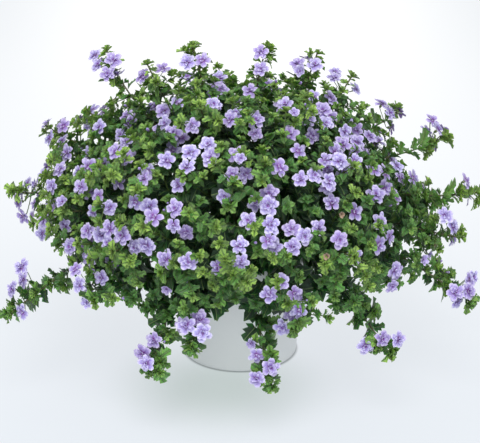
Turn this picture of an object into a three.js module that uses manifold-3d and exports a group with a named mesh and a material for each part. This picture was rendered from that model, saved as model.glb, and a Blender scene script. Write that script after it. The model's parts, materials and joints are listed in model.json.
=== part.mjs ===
// A double-flowered trailing bacopa in a plain round pot.
// Millimetres, +Z up. The origin is the centre of the pot's underside.
import * as THREE from "three";
import { mergeVertices } from "three/addons/utils/BufferGeometryUtils.js";
import Module from "manifold-3d";

const wasm = await Module();
wasm.setup();

const POT = { height: 120, footRadius: 57.5, rimRadius: 66.5, wall: 4, floor: 5, edge: 3, sides: 32 };
const SOIL = { edgeHeight: 106, crownHeight: 110, gap: 0.3, sides: 20, holeGap: 0.4, holeSides: 4 };
const ROOTING = { radius: 46, spacing: 9.5, rounds: 80, depth: 14, collar: 2 };
const STEM = { baseRadius: 1.9, sideRadius: 1.3, tipRadius: 1.0, samples: 24, longestStep: 50 };
const BEND = { width: 16, tries: 8, clear: 1 };
// Places of the joints, measured back from the tip. Side stems leave from the ones past `branching`.
const JOINTS = { rooted: [9, 21, 35, 58, 80, 104, 130], side: [8, 19, 32, 48], height: 2.6, branching: 50 };
const BARE_BASE = 8;
const SIDE_STEM = { most: 2, longest: 150, apart: 34, clear: 5, steepest: 0.25, turning: 0.35, depth: 14 };
// How much longer a way to a place a side stem may take, for leaving its parent straight ahead.
const DETOUR = 60;
// The rounded shape that the leafy crown fills. It rises by `height` over its widest level, falls by `drop`
// below it, stands `aside` from the pot's axis and leans by `lean` on its slopes. Side stems may reach for
// `places` places on it.
// Beyond `near` from the tips of the rooted stems it draws back, by `bay` for each millimetre.
const MOUND = {
  radius: 214, height: 159, drop: 64, centre: 138, aside: 6, lean: -18, top: 292, bottom: 88, places: 150,
  near: 22, bay: 0.45,
};
// In front, the crown ends higher and shows the pot: by azimuth in degrees, how far it goes to each side.
const PARTING = { azimuth: -90, spread: 20, bottom: 126 };
// Shares of the bloom's radius, apart from its radius, stalk and neck: the inner petals form its crown.
// A bloom's face and its stalk point the same way to at least the cosine `facing`.
// Between the heights `crestFrom` and `crestTo` the blooms turn more and more towards the light.
const BLOOM = {
  radius: 9, stalk: 10, neck: 1, tube: 0.45, notch: 0.6, cup: 0.2, lobes: 5, tries: 9, facing: 0.55,
  crestFrom: 190, crestTo: 290,
};
const CROWN = { radius: 0.4, rise: 0.42, lobes: 3 };
const LEAF = { length: 22, young: 14, fold: 0.16, droop: 0.14, thickness: 1.3 };
// One side of a leaf's outline, as shares of its length along the rib and away from it.
const LEAF_EDGE = [[0.3, 0.36], [0.56, 0.25], [0.7, 0.3]];
// Spots of a leaf's blade, and their radius, that cover it between them.
const LEAF_SPOTS = [
  [0.33, 0.19, 0.18], [0.33, -0.19, 0.18], [0.66, 0.13, 0.16], [0.66, -0.13, 0.16], [0.86, 0, 0.14],
];
const ROSETTE = { radius: 9.5, lobes: 4, notch: 0.34, lift: 0.3, rise: 1.2, depth: 1.4 };
const GOLDEN_ANGLE = Math.PI * (3 - Math.sqrt(5));
const CLEARANCE = 0.45;
const SEED = 7;

// The tip of each rooted stem: azimuth from +X in degrees, reach from the pot's axis and height.
const STEM_TIPS = [
  // Trailing over the rim, in front and then behind.
  [-153, 249, 88], [-134, 206, 120], [-114, 202, 62], [-103, 197, 92], [-81, 191, 50], [-75, 190, 106],
  [-47, 207, 66], [-25, 246, 98], [34, 228, 92], [62, 212, 68], [92, 208, 84], [121, 208, 66],
  [154, 232, 100],
  // Level with the top of the pot, spreading to the sides.
  [180, 228, 171], [0, 236, 170], [-16, 223, 147],
  // The shoulder of the mound.
  [25, 236, 195], [36, 205, 216], [163, 204, 219], [-157, 200, 180], [-126, 198, 174], [-92, 196, 166],
  [-58, 197, 172], [60, 196, 182], [92, 196, 184], [127, 196, 178],
  // The upper slopes.
  [152, 177, 228], [38, 145, 263], [-140, 150, 234], [-92, 142, 236], [-44, 148, 236], [96, 134, 248],
  // The crown, with the stray shoots that stand out of it.
  [145, 166, 288], [147, 111, 285], [157, 51, 316], [38, 98, 296], [49, 40, 312], [-120, 76, 284],
  [-38, 80, 286],
];
// Windows of a stem's joints, as joint and side, in the order in which blooms and then leaves take them.
const BLOOM_PLACES = [[1, 0], [0, 0], [1, 1], [2, 0], [1, 2], [2, 1], [0, 2], [2, 2]];
const LEAF_PLACES = [[2, 1], [2, 2], [1, 2], [1, 1], [0, 1], [0, 2], [3, 0], [3, 1]];
const BLOOM_COUNT = 240;
const LEAF_COUNT = 100;

const SKIN = {
  stem: new THREE.MeshStandardMaterial({ color: 0x7f934a, roughness: 0.6, metalness: 0 }),
  leaf: new THREE.MeshStandardMaterial({ color: 0x4c7a2b, roughness: 0.5, metalness: 0 }),
  petal: new THREE.MeshStandardMaterial({ color: 0xb49be0, roughness: 0.6, metalness: 0 }),
};
const CLAY = new THREE.MeshStandardMaterial({ color: 0xe9ebec, roughness: 0.45, metalness: 0 });
const PEAT = new THREE.MeshStandardMaterial({ color: 0x3a2a1e, roughness: 0.95, metalness: 0 });

const UP = new THREE.Vector3(0, 0, 1);
// Where the light came from as the plant grew: the blooms turn a little that way.
const SUNWARD = new THREE.Vector3(0, -0.93, 0.37);
const vector = (x, y, z) => new THREE.Vector3(x, y, z);
const radians = THREE.MathUtils.degToRad;

// The sum of vectors, each given with the share of it that counts.
function sum(...terms) {
  return terms.reduce((total, [share, way]) => total.addScaledVector(way, share), vector(0, 0, 0));
}

// Seeded draws from 0 to 1.
let drawn = SEED;
function draw() {
  drawn = (Math.imul(drawn, 1664525) + 1013904223) >>> 0;
  return drawn / 4294967296;
}

// A direction freed of its part along another one, at unit length.
function squared(way, from) {
  return way.clone().addScaledVector(from, -way.dot(from)).normalize();
}

// The way out of the mound at a place, square to its rounded surface.
function outward(place) {
  const rise = Math.max(place.z - MOUND.centre, 0) / MOUND.height ** 2;
  return vector(place.x / MOUND.radius ** 2, place.y / MOUND.radius ** 2, rise + 1e-6).normalize();
}

// The place on the mound at a height and an azimuth in radians.
function moundPlace(azimuth, z) {
  const rise = z - MOUND.centre;
  const share = THREE.MathUtils.clamp(rise / (rise > 0 ? MOUND.height : MOUND.drop), -1, 1);
  const reach = MOUND.radius * Math.sqrt(1 - share * share);
  const lean = MOUND.aside + MOUND.lean * Math.sin(Math.PI * Math.max(share, 0));
  return vector(reach * Math.cos(azimuth) + lean, reach * Math.sin(azimuth), z);
}

function inParting({ x, y, z }) {
  const turn = Math.atan2(y, x) - radians(PARTING.azimuth);
  return z < PARTING.bottom && Math.abs(turn) < radians(PARTING.spread);
}

// Where each stem is rooted: low shoots near the wall and tall ones near the middle, spread apart.
function rootingPlaces() {
  const places = STEM_TIPS.map(([azimuth, reach, height]) => {
    const rise = Math.max(0, Math.atan2(height - SOIL.crownHeight, reach));
    const radius = ROOTING.radius * Math.cos(rise) ** 0.8;
    return vector(radius * Math.cos(radians(azimuth)), radius * Math.sin(radians(azimuth)), 0);
  });
  for (let round = 0; round < ROOTING.rounds; round++) {
    for (const [i, one] of places.entries()) {
      for (const other of places.slice(i + 1)) {
        const between = other.clone().sub(one);
        const push = Math.max(0, ROOTING.spacing - between.length()) / 2;
        between.setLength(push);
        one.sub(between);
        other.add(between);
      }
    }
    places.forEach((place) => place.clampLength(0, ROOTING.radius));
  }
  return places;
}

// A stem: its centre line, its thickness and its joints, each with three windows that a piece may grow from.
function makeStem(number, parent, points, baseRadius, joints) {
  const lengths = [0];
  points.slice(1).forEach((point, i) => lengths.push(lengths[i] + point.distanceTo(points[i])));
  const stem = { number, parent, points, lengths, length: lengths.at(-1), baseRadius, branches: 0 };
  // A sideways direction is carried from the tip back to the base, so that the stem's skin isn't twisted.
  const ways = points.slice(1).map((point, i) => point.clone().sub(points[i]).normalize());
  ways.unshift(ways[0]);
  const tipWay = ways.at(-1);
  const out = outward(points.at(-1));
  const start = Math.abs(out.dot(tipWay)) < 0.97 ? out : vector(0.6, 0.8, 0);
  let across = squared(start, tipWay).applyAxisAngle(tipWay, (draw() - 0.5) * 0.9);
  stem.acrosses = [];
  for (const way of ways.reverse()) {
    across = squared(across, way);
    stem.acrosses.unshift(across);
  }
  stem.joints = joints.filter((at) => at < stem.length - BARE_BASE).map((at) => makeJoint(stem, at));
  return stem;
}

// The point, the direction, the thickness and a sideways direction of a stem at a distance from its tip.
function alongStem(stem, fromTip) {
  const wanted = Math.max(0, stem.length - fromTip);
  let i = 1;
  while (i < stem.points.length - 1 && stem.lengths[i] < wanted) i++;
  const share = (wanted - stem.lengths[i - 1]) / (stem.lengths[i] - stem.lengths[i - 1]);
  const point = stem.points[i - 1].clone().lerp(stem.points[i], share);
  const direction = stem.points[i].clone().sub(stem.points[i - 1]).normalize();
  const radius = THREE.MathUtils.lerp(stem.baseRadius, STEM.tipRadius, wanted / stem.length);
  const across = squared(stem.acrosses[i - 1].clone().lerp(stem.acrosses[i], share), direction);
  return { point, direction, radius, across };
}

function makeJoint(stem, at) {
  const { point, direction, across } = alongStem(stem, at);
  const sides = [0, 1, 2].map((side) => across.clone().applyAxisAngle(direction, (side * 2 * Math.PI) / 3));
  return { stem, at, point, direction, sides, grown: [null, null, null] };
}

// A rooted stem rises from its hole and arches outwards to its tip, with a sideways bend that keeps it clear.
function rootedStem(number, [azimuth, reach, height], root, standing) {
  const out = vector(Math.cos(radians(azimuth)), Math.sin(radians(azimuth)), 0);
  const aside = vector(-out.y, out.x, 0);
  const tip = out.clone().multiplyScalar(reach).setZ(height);
  const collar = root.clone().setZ(SOIL.crownHeight + ROOTING.collar);
  const span = tip.distanceTo(collar);
  const slope = radians(THREE.MathUtils.clamp((height - 150) * 0.45, -55, 68));
  const heading = sum([Math.cos(slope), out], [Math.sin(slope), UP]);
  const lift = THREE.MathUtils.clamp(0.36 + (height - 60) / 1200, 0.36, 0.5);
  const rising = sum([1, collar], [0.12 * span, out], [lift * span, UP]);
  const arching = sum([1, tip], [-0.36 * span, heading]);
  const curve = new THREE.CubicBezierCurve3(collar, rising, arching, tip);
  let points = [];
  for (let attempt = 0; attempt < BEND.tries; attempt++) {
    const bend = (draw() - 0.5) * BEND.width * (1 + attempt / 3);
    points = curve.getPoints(STEM.samples);
    points.forEach((point, i) => point.addScaledVector(aside, bend * Math.sin((Math.PI * i) / STEM.samples)));
    const path = points.slice(2).map((point) => ball(point, STEM.baseRadius));
    if (isClear(path, standing, {}, BEND.clear)) break;
  }
  const foot = collar.clone().setZ(SOIL.crownHeight - ROOTING.depth);
  return makeStem(number, null, [foot, ...points], STEM.baseRadius, JOINTS.rooted);
}

// Balls that stand for what has grown, so that the next piece keeps clear of it.
function ball(centre, radius, stalk = false) {
  return { centre, radius, stalk };
}

function stemBalls(stem) {
  const balls = [];
  for (let at = 0; at < stem.length; at += 4) {
    const { point, radius } = alongStem(stem, at);
    balls.push({ ...ball(point, radius + 0.3), stem });
  }
  return balls;
}

// True where a ball would touch the pot, or the soil in it.
function meetsPot({ centre, radius }) {
  const reach = Math.hypot(centre.x, centre.y);
  if (reach - radius > POT.rimRadius + CLEARANCE) return false;
  const within = reach + radius < POT.rimRadius - POT.wall - CLEARANCE;
  return centre.z - radius < (within ? SOIL.crownHeight : POT.height) + CLEARANCE;
}

// True where no ball of a new piece touches what stands there. Its stalk may touch what it grows from.
function isClear(balls, standing, joint, extra = 0) {
  if (balls.some(meetsPot)) return false;
  return standing.every((other) =>
    balls.every((one) => {
      if (one.stalk && (other.stem === joint.stem || other.joint === joint)) return true;
      const apart = one.radius + other.radius + CLEARANCE + extra;
      return one.centre.distanceToSquared(other.centre) > apart * apart;
    }),
  );
}

// How far the crown draws back at a place between the tips of the rooted stems.
function bay(place, tips) {
  const nearest = Math.min(...tips.map((tip) => tip.distanceTo(place)));
  return MOUND.bay * Math.max(0, nearest - MOUND.near);
}

// Places spread evenly over the mound, for side stems to reach where no other tip is near.
function emptyPlaces(tips) {
  const places = [];
  for (let i = 0; i < MOUND.places; i++) {
    const z = THREE.MathUtils.lerp(MOUND.top, MOUND.bottom, (i + 0.5) / MOUND.places);
    const place = moundPlace(i * GOLDEN_ANGLE, z);
    place.addScaledVector(outward(place), -SIDE_STEM.depth * draw() - bay(place, tips));
    if (inParting(place)) continue;
    if ([...tips, ...places].every((tip) => tip.distanceTo(place) > SIDE_STEM.apart)) places.push(place);
  }
  return places;
}

// A side stem grows to an empty place from the joint that leads there best, if any way there is clear.
function sideStem(number, end, stems, standing) {
  let best = null;
  for (const parent of stems) {
    if (parent.branches >= SIDE_STEM.most) continue;
    for (const joint of parent.joints.filter((one) => one.at > JOINTS.branching)) {
      const between = end.clone().sub(joint.point);
      const distance = between.length();
      const way = between.normalize();
      const turnings = joint.sides.map((side) => side.dot(way));
      const side = turnings.indexOf(Math.max(...turnings));
      const cost = distance - DETOUR * way.dot(joint.direction);
      if (distance > SIDE_STEM.longest || way.dot(joint.direction) < SIDE_STEM.steepest) continue;
      if (turnings[side] < SIDE_STEM.turning) continue;
      if (joint.grown[side] || (best && cost > best.cost)) continue;
      const leaving = sum([0.8, joint.sides[side]], [0.8, joint.direction]).normalize();
      const arriving = sum([0.6, outward(end)], [0.6, way]).normalize();
      const early = sum([1, joint.point], [0.3 * distance, leaving]);
      const late = sum([1, end], [-0.35 * distance, arriving]);
      const points = new THREE.CubicBezierCurve3(joint.point, early, late, end).getPoints(STEM.samples / 2);
      const path = points.slice(2).map((point) => ball(point, STEM.sideRadius));
      const own = points.slice(0, 2).map((point) => ball(point, STEM.sideRadius, true));
      if (isClear([...own, ...path], standing, joint, SIDE_STEM.clear)) best = { cost, points, joint, side };
    }
  }
  if (!best) return null;
  const stem = makeStem(number, best.joint, best.points, STEM.sideRadius, JOINTS.side);
  best.joint.grown[best.side] = { kind: "stem", stem };
  best.joint.stem.branches += 1;
  return stem;
}

// The place and turn of a piece that is drawn with its face along +Z.
function stand(origin, along, face) {
  const x = squared(along, face);
  const frame = new THREE.Matrix4().makeBasis(x, face.clone().cross(x), face);
  return new THREE.Matrix4().makeTranslation(origin).multiply(frame);
}

function anySquare(way) {
  return squared(Math.abs(way.z) < 0.9 ? UP : vector(1, 0, 0), way);
}

// Balls over a flat piece with lobes: one in the middle and one on each lobe.
function lobedBalls(frame, size, lobes, lift) {
  const balls = [ball(vector(0, 0, lift * size * 0.5).applyMatrix4(frame), size * 0.6)];
  for (let lobe = 0; lobe < lobes; lobe++) {
    const angle = (2 * Math.PI * lobe) / lobes;
    const middle = vector(Math.cos(angle), Math.sin(angle), lift).multiplyScalar(0.7 * size);
    balls.push(ball(middle.applyMatrix4(frame), size * 0.34));
  }
  return balls;
}

// The way that a bloom faces: out of the crown, along its stalk and towards the light.
function bloomFacing(centre, way) {
  const crest = THREE.MathUtils.clamp(
    (centre.z - BLOOM.crestFrom) / (BLOOM.crestTo - BLOOM.crestFrom), 0, 1);
  const level = squared(centre, UP);
  const turned = sum([1 - crest, level], [1 + 1.2 * crest, SUNWARD]);
  return sum([1, outward(centre)], [1, way], [1, turned]).normalize();
}

// A bloom on a stalk from one window of a joint, or nothing if no place for it is clear.
function placeBloom(joint, side, standing) {
  const normal = joint.sides[side];
  const aside = joint.direction.clone().cross(normal);
  const out = outward(joint.point);
  for (let attempt = 0; attempt < BLOOM.tries; attempt++) {
    const size = BLOOM.radius * (0.86 + 0.22 * draw());
    const jitter = sum([draw() - 0.5, joint.direction], [draw() - 0.5, aside]);
    const reach = BLOOM.stalk * (0.9 + 0.5 * draw()) + size * BLOOM.tube;
    const spin = draw() * 2 * Math.PI;
    const way = sum([0.8, normal], [0.45, out], [1.2, jitter]).normalize();
    if (way.dot(normal) < 0.35 || way.dot(out) < -0.1) continue;
    const centre = sum([1, joint.point], [reach, way]);
    const facing = bloomFacing(centre, way);
    if (facing.dot(way) < BLOOM.facing) continue;
    const frame = stand(centre, anySquare(facing).applyAxisAngle(facing, spin), facing);
    const balls = lobedBalls(frame, size, BLOOM.lobes, BLOOM.cup);
    for (const share of [0.3, 0.5, 0.7]) {
      balls.push(ball(sum([1, joint.point], [share * reach, way]), BLOOM.neck + 0.3, true));
    }
    if (centre.z < size + 6 || !isClear(balls, standing, joint)) continue;
    standing.push(...balls.map((one) => ({ ...one, joint: one.stalk ? joint : null })));
    return { kind: "bloom", size, frame };
  }
  return null;
}

// A point of the blade of a leaf one long, in its own frame: folded up from its rib and drooping at its tip.
function bladePoint(x, y) {
  return vector(x, y, LEAF.fold * Math.abs(y) - LEAF.droop * x * x);
}

// A leaf from one window of a joint, spread sideways and rising towards the stem's tip.
function placeLeaf(joint, side, standing) {
  const length = (joint.at < 15 ? LEAF.young : LEAF.length) * (0.88 + 0.24 * draw());
  for (const rise of [0.5, 0.9, 0.2, -0.1]) {
    const way = sum([1, joint.sides[side]], [rise, joint.direction], [0.25, outward(joint.point)]);
    way.normalize();
    const face = squared(joint.direction, way);
    const frame = stand(sum([1, joint.point], [0.6, joint.sides[side]]), way, face);
    const balls = LEAF_SPOTS.map(([x, y, radius]) => {
      return ball(bladePoint(x, y).multiplyScalar(length).applyMatrix4(frame), radius * length);
    });
    if (balls.some((one) => one.centre.z < 8) || !isClear(balls, standing, joint)) continue;
    standing.push(...balls);
    return { kind: "leaf", length, frame };
  }
  return null;
}

// The young leaves round a stem's growing point.
function placeRosette(stem, standing) {
  const { point, direction } = alongStem(stem, 0);
  const face = sum([0.8, direction], [0.4, outward(point)]).normalize();
  const size = ROSETTE.radius * (0.85 + 0.3 * draw());
  const along = anySquare(face).applyAxisAngle(face, draw() * Math.PI);
  const frame = stand(sum([1, point], [ROSETTE.rise, face]), along, face);
  standing.push(...lobedBalls(frame, size, ROSETTE.lobes, ROSETTE.lift).map((one) => ({ ...one, stem })));
  return { size, frame };
}

// Everything that grows: stems, the rosettes at their tips, blooms and the larger leaves.
function growPlant() {
  const roots = rootingPlaces();
  const stems = [];
  const standing = [];
  for (const [number, tip] of STEM_TIPS.entries()) {
    stems.push(rootedStem(number, tip, roots[number], standing));
    standing.push(...stemBalls(stems[number]));
  }
  const rooted = stems.slice();
  for (const place of emptyPlaces(stems.map((stem) => stem.points.at(-1)))) {
    const made = sideStem(stems.length, place, rooted, standing);
    if (!made) continue;
    stems.push(made);
    standing.push(...stemBalls(made).filter((one) => one.centre.distanceTo(made.parent.point) > 5));
  }
  for (const stem of stems) stem.rosette = placeRosette(stem, standing);
  fillWindows(stems, BLOOM_PLACES, BLOOM_COUNT, (joint, side) => placeBloom(joint, side, standing));
  fillWindows(stems, LEAF_PLACES, LEAF_COUNT, (joint, side) => placeLeaf(joint, side, standing));
  return { roots, stems };
}

// Gives each stem in turn one more piece, in the first of its windows that has room for it.
function fillWindows(stems, places, count, place) {
  let left = count;
  for (let round = 0; round < places.length; round++) {
    for (const stem of stems) {
      for (const [at, side] of places) {
        const joint = stem.joints[at];
        if (left === 0 || !joint || joint.grown[side]) continue;
        joint.grown[side] = place(joint, side);
        if (!joint.grown[side]) continue;
        left -= 1;
        break;
      }
    }
  }
}

// The skin of one spray, built as rings of points that are bridged to each other.
class Skin {
  points = [];
  faces = { stem: [], leaf: [], petal: [] };

  ring(points) {
    return points.map((point) => this.points.push(point) - 1);
  }

  // Joins two rings, wound the same way, that may have different numbers of points, with the least twist.
  bridge(kind, from, to) {
    const pairs = [];
    for (let i = 0, j = 0; i < from.length || j < to.length; ) {
      pairs.push([i, j]);
      if (j === to.length || (i < from.length && (i + 0.5) / from.length <= (j + 0.5) / to.length)) i += 1;
      else j += 1;
    }
    const centreOf = (ring) => sum(...ring.map((index) => [1 / ring.length, this.points[index]]));
    const shift = centreOf(to).sub(centreOf(from));
    let best = { twist: Infinity };
    for (const turnFrom of from.keys()) {
      for (const turnTo of to.keys()) {
        const near = (i) => from[(i + turnFrom) % from.length];
        const far = (j) => to[(j + turnTo) % to.length];
        const apart = ([i, j]) => this.points[far(j)].clone().sub(shift).distanceTo(this.points[near(i)]);
        const twist = pairs.reduce((total, pair) => total + apart(pair), 0);
        if (twist < best.twist) best = { twist, near, far };
      }
    }
    const { near, far } = best;
    pairs.forEach(([i, j], step) => {
      const [nextI] = pairs[step + 1] ?? [from.length];
      if (nextI > i) this.faces[kind].push([near(i), near(i + 1), far(j)]);
      else if (to.length > 1) this.faces[kind].push([near(i), far(j + 1), far(j)]);
    });
    return to;
  }

  cap(kind, ring) {
    for (let i = 1; i < ring.length - 1; i++) this.faces[kind].push([ring[0], ring[i], ring[i + 1]]);
  }

  // A thin flap on a window: an outline from the window's left side round to its right, full in the middle.
  flap(kind, [lowLeft, lowRight, highRight, highLeft], outline, above, below) {
    const rim = this.ring(outline);
    const [top, bottom] = this.ring([above, below]);
    const upper = [highLeft, ...rim, highRight];
    const lower = [lowLeft, ...rim, lowRight].reverse();
    for (const [loop, middle] of [[upper, top], [lower, bottom]]) {
      loop.forEach((index, i) => this.faces[kind].push([index, loop[(i + 1) % loop.length], middle]));
    }
    this.faces[kind].push([highLeft, lowLeft, rim[0]], [lowRight, highRight, rim.at(-1)]);
  }

  mesh(name) {
    const geometry = new THREE.BufferGeometry().setFromPoints(this.points);
    const kinds = Object.keys(this.faces);
    geometry.setIndex(kinds.flatMap((kind) => this.faces[kind].flat()));
    let start = 0;
    kinds.forEach((kind, i) => {
      geometry.addGroup(start, this.faces[kind].length * 3, i);
      start += this.faces[kind].length * 3;
    });
    geometry.computeVertexNormals();
    const mesh = new THREE.Mesh(geometry, kinds.map((kind) => SKIN[kind]));
    mesh.name = name;
    return mesh;
  }
}

// The three corners of a stem at a distance from its tip. A window lies between two corners.
function stemCorners(stem, fromTip) {
  const { point, direction, radius, across } = alongStem(stem, fromTip);
  return [-60, 60, 180].map((angle) => {
    const spoke = across.clone().applyAxisAngle(direction, radians(angle));
    return sum([1, point], [radius, spoke]);
  });
}

// The places where a stem's skin has a ring, from its base to its tip: two at each joint that bears a piece.
function stemStations(stem) {
  const stations = stem.parent ? [] : [{ at: stem.length }, { at: stem.length - ROOTING.depth }];
  let last = stem.parent ? stem.length : stem.length - ROOTING.depth;
  for (const joint of stem.joints.filter((one) => one.grown.some(Boolean)).reverse()) {
    const steps = Math.ceil((last - joint.at) / STEM.longestStep);
    for (let step = 1; step < steps; step++) stations.push({ at: last + ((joint.at - last) * step) / steps });
    stations.push({ at: joint.at + JOINTS.height / 2 }, { at: joint.at - JOINTS.height / 2, joint });
    last = joint.at;
  }
  stations.push({ at: 1.5 });
  return stations;
}

function growStem(skin, stem, window) {
  let ring = window;
  for (const { at, joint } of stemStations(stem)) {
    const next = skin.ring(stemCorners(stem, at));
    if (!ring) skin.cap("stem", next.slice().reverse());
    else if (!joint) skin.bridge("stem", ring, next);
    else growJoint(skin, joint, ring, next);
    ring = next;
  }
  growRosette(skin, stem.rosette, ring);
}

function growJoint(skin, joint, low, high) {
  joint.grown.forEach((piece, side) => {
    const next = (side + 1) % 3;
    const window = [low[side], low[next], high[next], high[side]];
    if (!piece) skin.cap("stem", window);
    else if (piece.kind === "stem") growStem(skin, piece.stem, window);
    else if (piece.kind === "bloom") growBloom(skin, piece, window);
    else growLeaf(skin, piece, window);
  });
}

// A circle or a star in a piece's own frame: one point for each pair of reach and height.
function star(frame, corners, turn = 0) {
  return corners.map(([reach, height], i) => {
    const angle = turn + (2 * Math.PI * i) / corners.length;
    return vector(reach * Math.cos(angle), reach * Math.sin(angle), height).applyMatrix4(frame);
  });
}

// A bloom: a thin stalk, a tube, five outer lobes and the raised crown of its inner petals.
function growBloom(skin, { size, frame }, window) {
  const neck = skin.ring(star(frame, Array(3).fill([BLOOM.neck, -BLOOM.tube * size])));
  skin.bridge("stem", window, neck);
  const lobes = Array(BLOOM.lobes).fill([[size, BLOOM.cup * size], [BLOOM.notch * size, 0]]).flat();
  const rim = skin.bridge("petal", neck, skin.ring(star(frame, lobes)));
  const inner = Array(CROWN.lobes).fill([CROWN.radius * size, CROWN.rise * size]);
  skin.cap("petal", skin.bridge("petal", rim, skin.ring(star(frame, inner, Math.PI / BLOOM.lobes))));
}

// A leaf with a broad base, a blunt tooth on each side and a slight fold along its rib.
function growLeaf(skin, { length, frame }, window) {
  const outline = [...LEAF_EDGE.map(([x, y]) => [x, -y]), [1, 0], ...LEAF_EDGE.slice().reverse()];
  const placed = (x, y, rise) => {
    const point = bladePoint(x, y).multiplyScalar(length);
    return point.setZ(point.z + rise).applyMatrix4(frame);
  };
  const [above, below] = [0.5, -0.5].map((share) => placed(0.45, 0, share * LEAF.thickness));
  skin.flap("leaf", window, outline.map(([x, y]) => placed(x, y, 0)), above, below);
}

function growRosette(skin, { size, frame }, ring) {
  const corners = [];
  for (let i = 0; i < ROSETTE.lobes * 2; i++) {
    const reach = size * (i % 2 ? ROSETTE.notch : i % 4 ? 0.82 : 1);
    corners.push([reach, ROSETTE.lift * reach]);
  }
  const rim = skin.bridge("leaf", ring, skin.ring(star(frame, corners)));
  skin.bridge("leaf", rim, skin.ring(star(frame, [[0, ROSETTE.depth]])));
}

// A solid turned about the upright axis from pairs of radius and height.
function turned(profile, sides) {
  const points = profile.map(([radius, height]) => new THREE.Vector2(radius, height));
  return new THREE.LatheGeometry(points, sides).rotateX(Math.PI / 2);
}

function asManifold(geometry) {
  geometry.deleteAttribute("normal");
  geometry.deleteAttribute("uv");
  const { attributes, index } = mergeVertices(geometry, 1e-3);
  const vertProperties = attributes.position.array;
  const triVerts = new Uint32Array(index.array);
  return new wasm.Manifold(new wasm.Mesh({ numProp: 3, vertProperties, triVerts }));
}

function potRadius(height) {
  return THREE.MathUtils.lerp(POT.footRadius, POT.rimRadius, height / POT.height);
}

function pot() {
  const { height, footRadius, rimRadius, wall, floor, edge, sides } = POT;
  const lip = wall / 2;
  const profile = [
    [0, 0],
    [footRadius - edge, 0],
    [footRadius, edge],
    [rimRadius, height - lip],
    [rimRadius - 0.3 * lip, height - 0.3 * lip],
    [rimRadius - lip, height],
    [rimRadius - 1.7 * lip, height - 0.3 * lip],
    [rimRadius - wall, height - lip],
    [potRadius(floor) - wall, floor],
    [0, floor],
  ];
  const mesh = new THREE.Mesh(turned(profile, sides), CLAY);
  mesh.name = "pot";
  return mesh;
}

// The potting soil fills the pot to just under its rim, with a plain hole for each rooted stem.
function pottingSoil(roots) {
  const { edgeHeight, crownHeight, gap, sides, holeGap, holeSides } = SOIL;
  const margin = (POT.wall + gap) / Math.cos(Math.PI / sides) + 0.4;
  const bottom = POT.floor + gap;
  const profile = [
    [0, bottom],
    [potRadius(bottom) - margin, bottom],
    [potRadius(edgeHeight) - margin, edgeHeight],
    [ROOTING.radius + 4, crownHeight],
    [0, crownHeight],
  ];
  const bottomOfHole = crownHeight - ROOTING.depth - 1;
  const height = ROOTING.depth + 4;
  const width = (STEM.baseRadius + holeGap) / Math.cos(Math.PI / holeSides);
  const holes = roots.map(({ x, y }) => {
    const hole = new THREE.CylinderGeometry(width, width, height, holeSides).rotateX(Math.PI / 2);
    return asManifold(hole.translate(x, y, bottomOfHole + height / 2));
  });
  const soil = asManifold(turned(profile, sides)).subtract(wasm.Manifold.union(holes));
  const { vertProperties, triVerts } = soil.getMesh();
  const geometry = new THREE.BufferGeometry();
  geometry.setAttribute("position", new THREE.BufferAttribute(vertProperties, 3));
  geometry.setIndex([...triVerts]);
  geometry.computeVertexNormals();
  const mesh = new THREE.Mesh(geometry, PEAT);
  mesh.name = "potting_soil";
  return mesh;
}

const plant = new THREE.Group();
const { roots, stems } = growPlant();
plant.add(pot(), pottingSoil(roots));
stems.filter((stem) => !stem.parent).forEach((stem) => {
  const skin = new Skin();
  growStem(skin, stem, null);
  plant.add(skin.mesh(`spray_${String(stem.number + 1).padStart(2, "0")}`));
});

export default plant;
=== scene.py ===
"""A potted double bacopa: its stems, leaves, blooms and buds, its pot, the soil, and a plain studio."""

import cmath
import functools
import itertools
import json
import math
from types import SimpleNamespace

import bpy
import numpy as np
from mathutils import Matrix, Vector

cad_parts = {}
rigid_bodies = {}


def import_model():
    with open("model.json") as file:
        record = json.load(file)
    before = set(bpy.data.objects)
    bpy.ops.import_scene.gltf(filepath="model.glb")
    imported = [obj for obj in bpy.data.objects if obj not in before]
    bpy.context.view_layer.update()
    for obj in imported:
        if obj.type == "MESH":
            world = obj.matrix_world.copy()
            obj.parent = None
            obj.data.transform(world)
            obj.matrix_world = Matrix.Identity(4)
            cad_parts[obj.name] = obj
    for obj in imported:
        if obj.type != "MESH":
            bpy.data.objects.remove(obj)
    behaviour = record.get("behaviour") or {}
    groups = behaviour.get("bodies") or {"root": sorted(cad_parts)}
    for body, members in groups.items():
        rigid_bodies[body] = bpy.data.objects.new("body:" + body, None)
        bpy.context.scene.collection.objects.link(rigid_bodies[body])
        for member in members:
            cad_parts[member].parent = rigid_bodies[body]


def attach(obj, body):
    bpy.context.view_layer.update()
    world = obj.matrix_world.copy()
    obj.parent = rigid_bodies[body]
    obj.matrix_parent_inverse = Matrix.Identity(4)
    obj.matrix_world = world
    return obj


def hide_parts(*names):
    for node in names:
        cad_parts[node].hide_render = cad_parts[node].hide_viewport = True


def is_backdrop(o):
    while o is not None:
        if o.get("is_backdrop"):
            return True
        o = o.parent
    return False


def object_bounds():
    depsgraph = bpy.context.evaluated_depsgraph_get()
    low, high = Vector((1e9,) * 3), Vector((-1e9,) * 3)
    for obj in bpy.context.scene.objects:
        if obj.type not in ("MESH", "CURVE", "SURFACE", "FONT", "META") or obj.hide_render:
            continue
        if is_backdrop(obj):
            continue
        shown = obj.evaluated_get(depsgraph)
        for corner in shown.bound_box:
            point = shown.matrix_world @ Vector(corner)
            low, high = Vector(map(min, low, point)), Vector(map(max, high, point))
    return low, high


bl_info = {
    "name": "Potted bacopa",
    "version": (1, 0, 0),
    "blender": (4, 5, 0),
    "location": "View3D > Sidebar > Bacopa",
    "description": "Grows a double-flowered bacopa in its pot around the packed model",
    "category": "Add Mesh",
}

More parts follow.
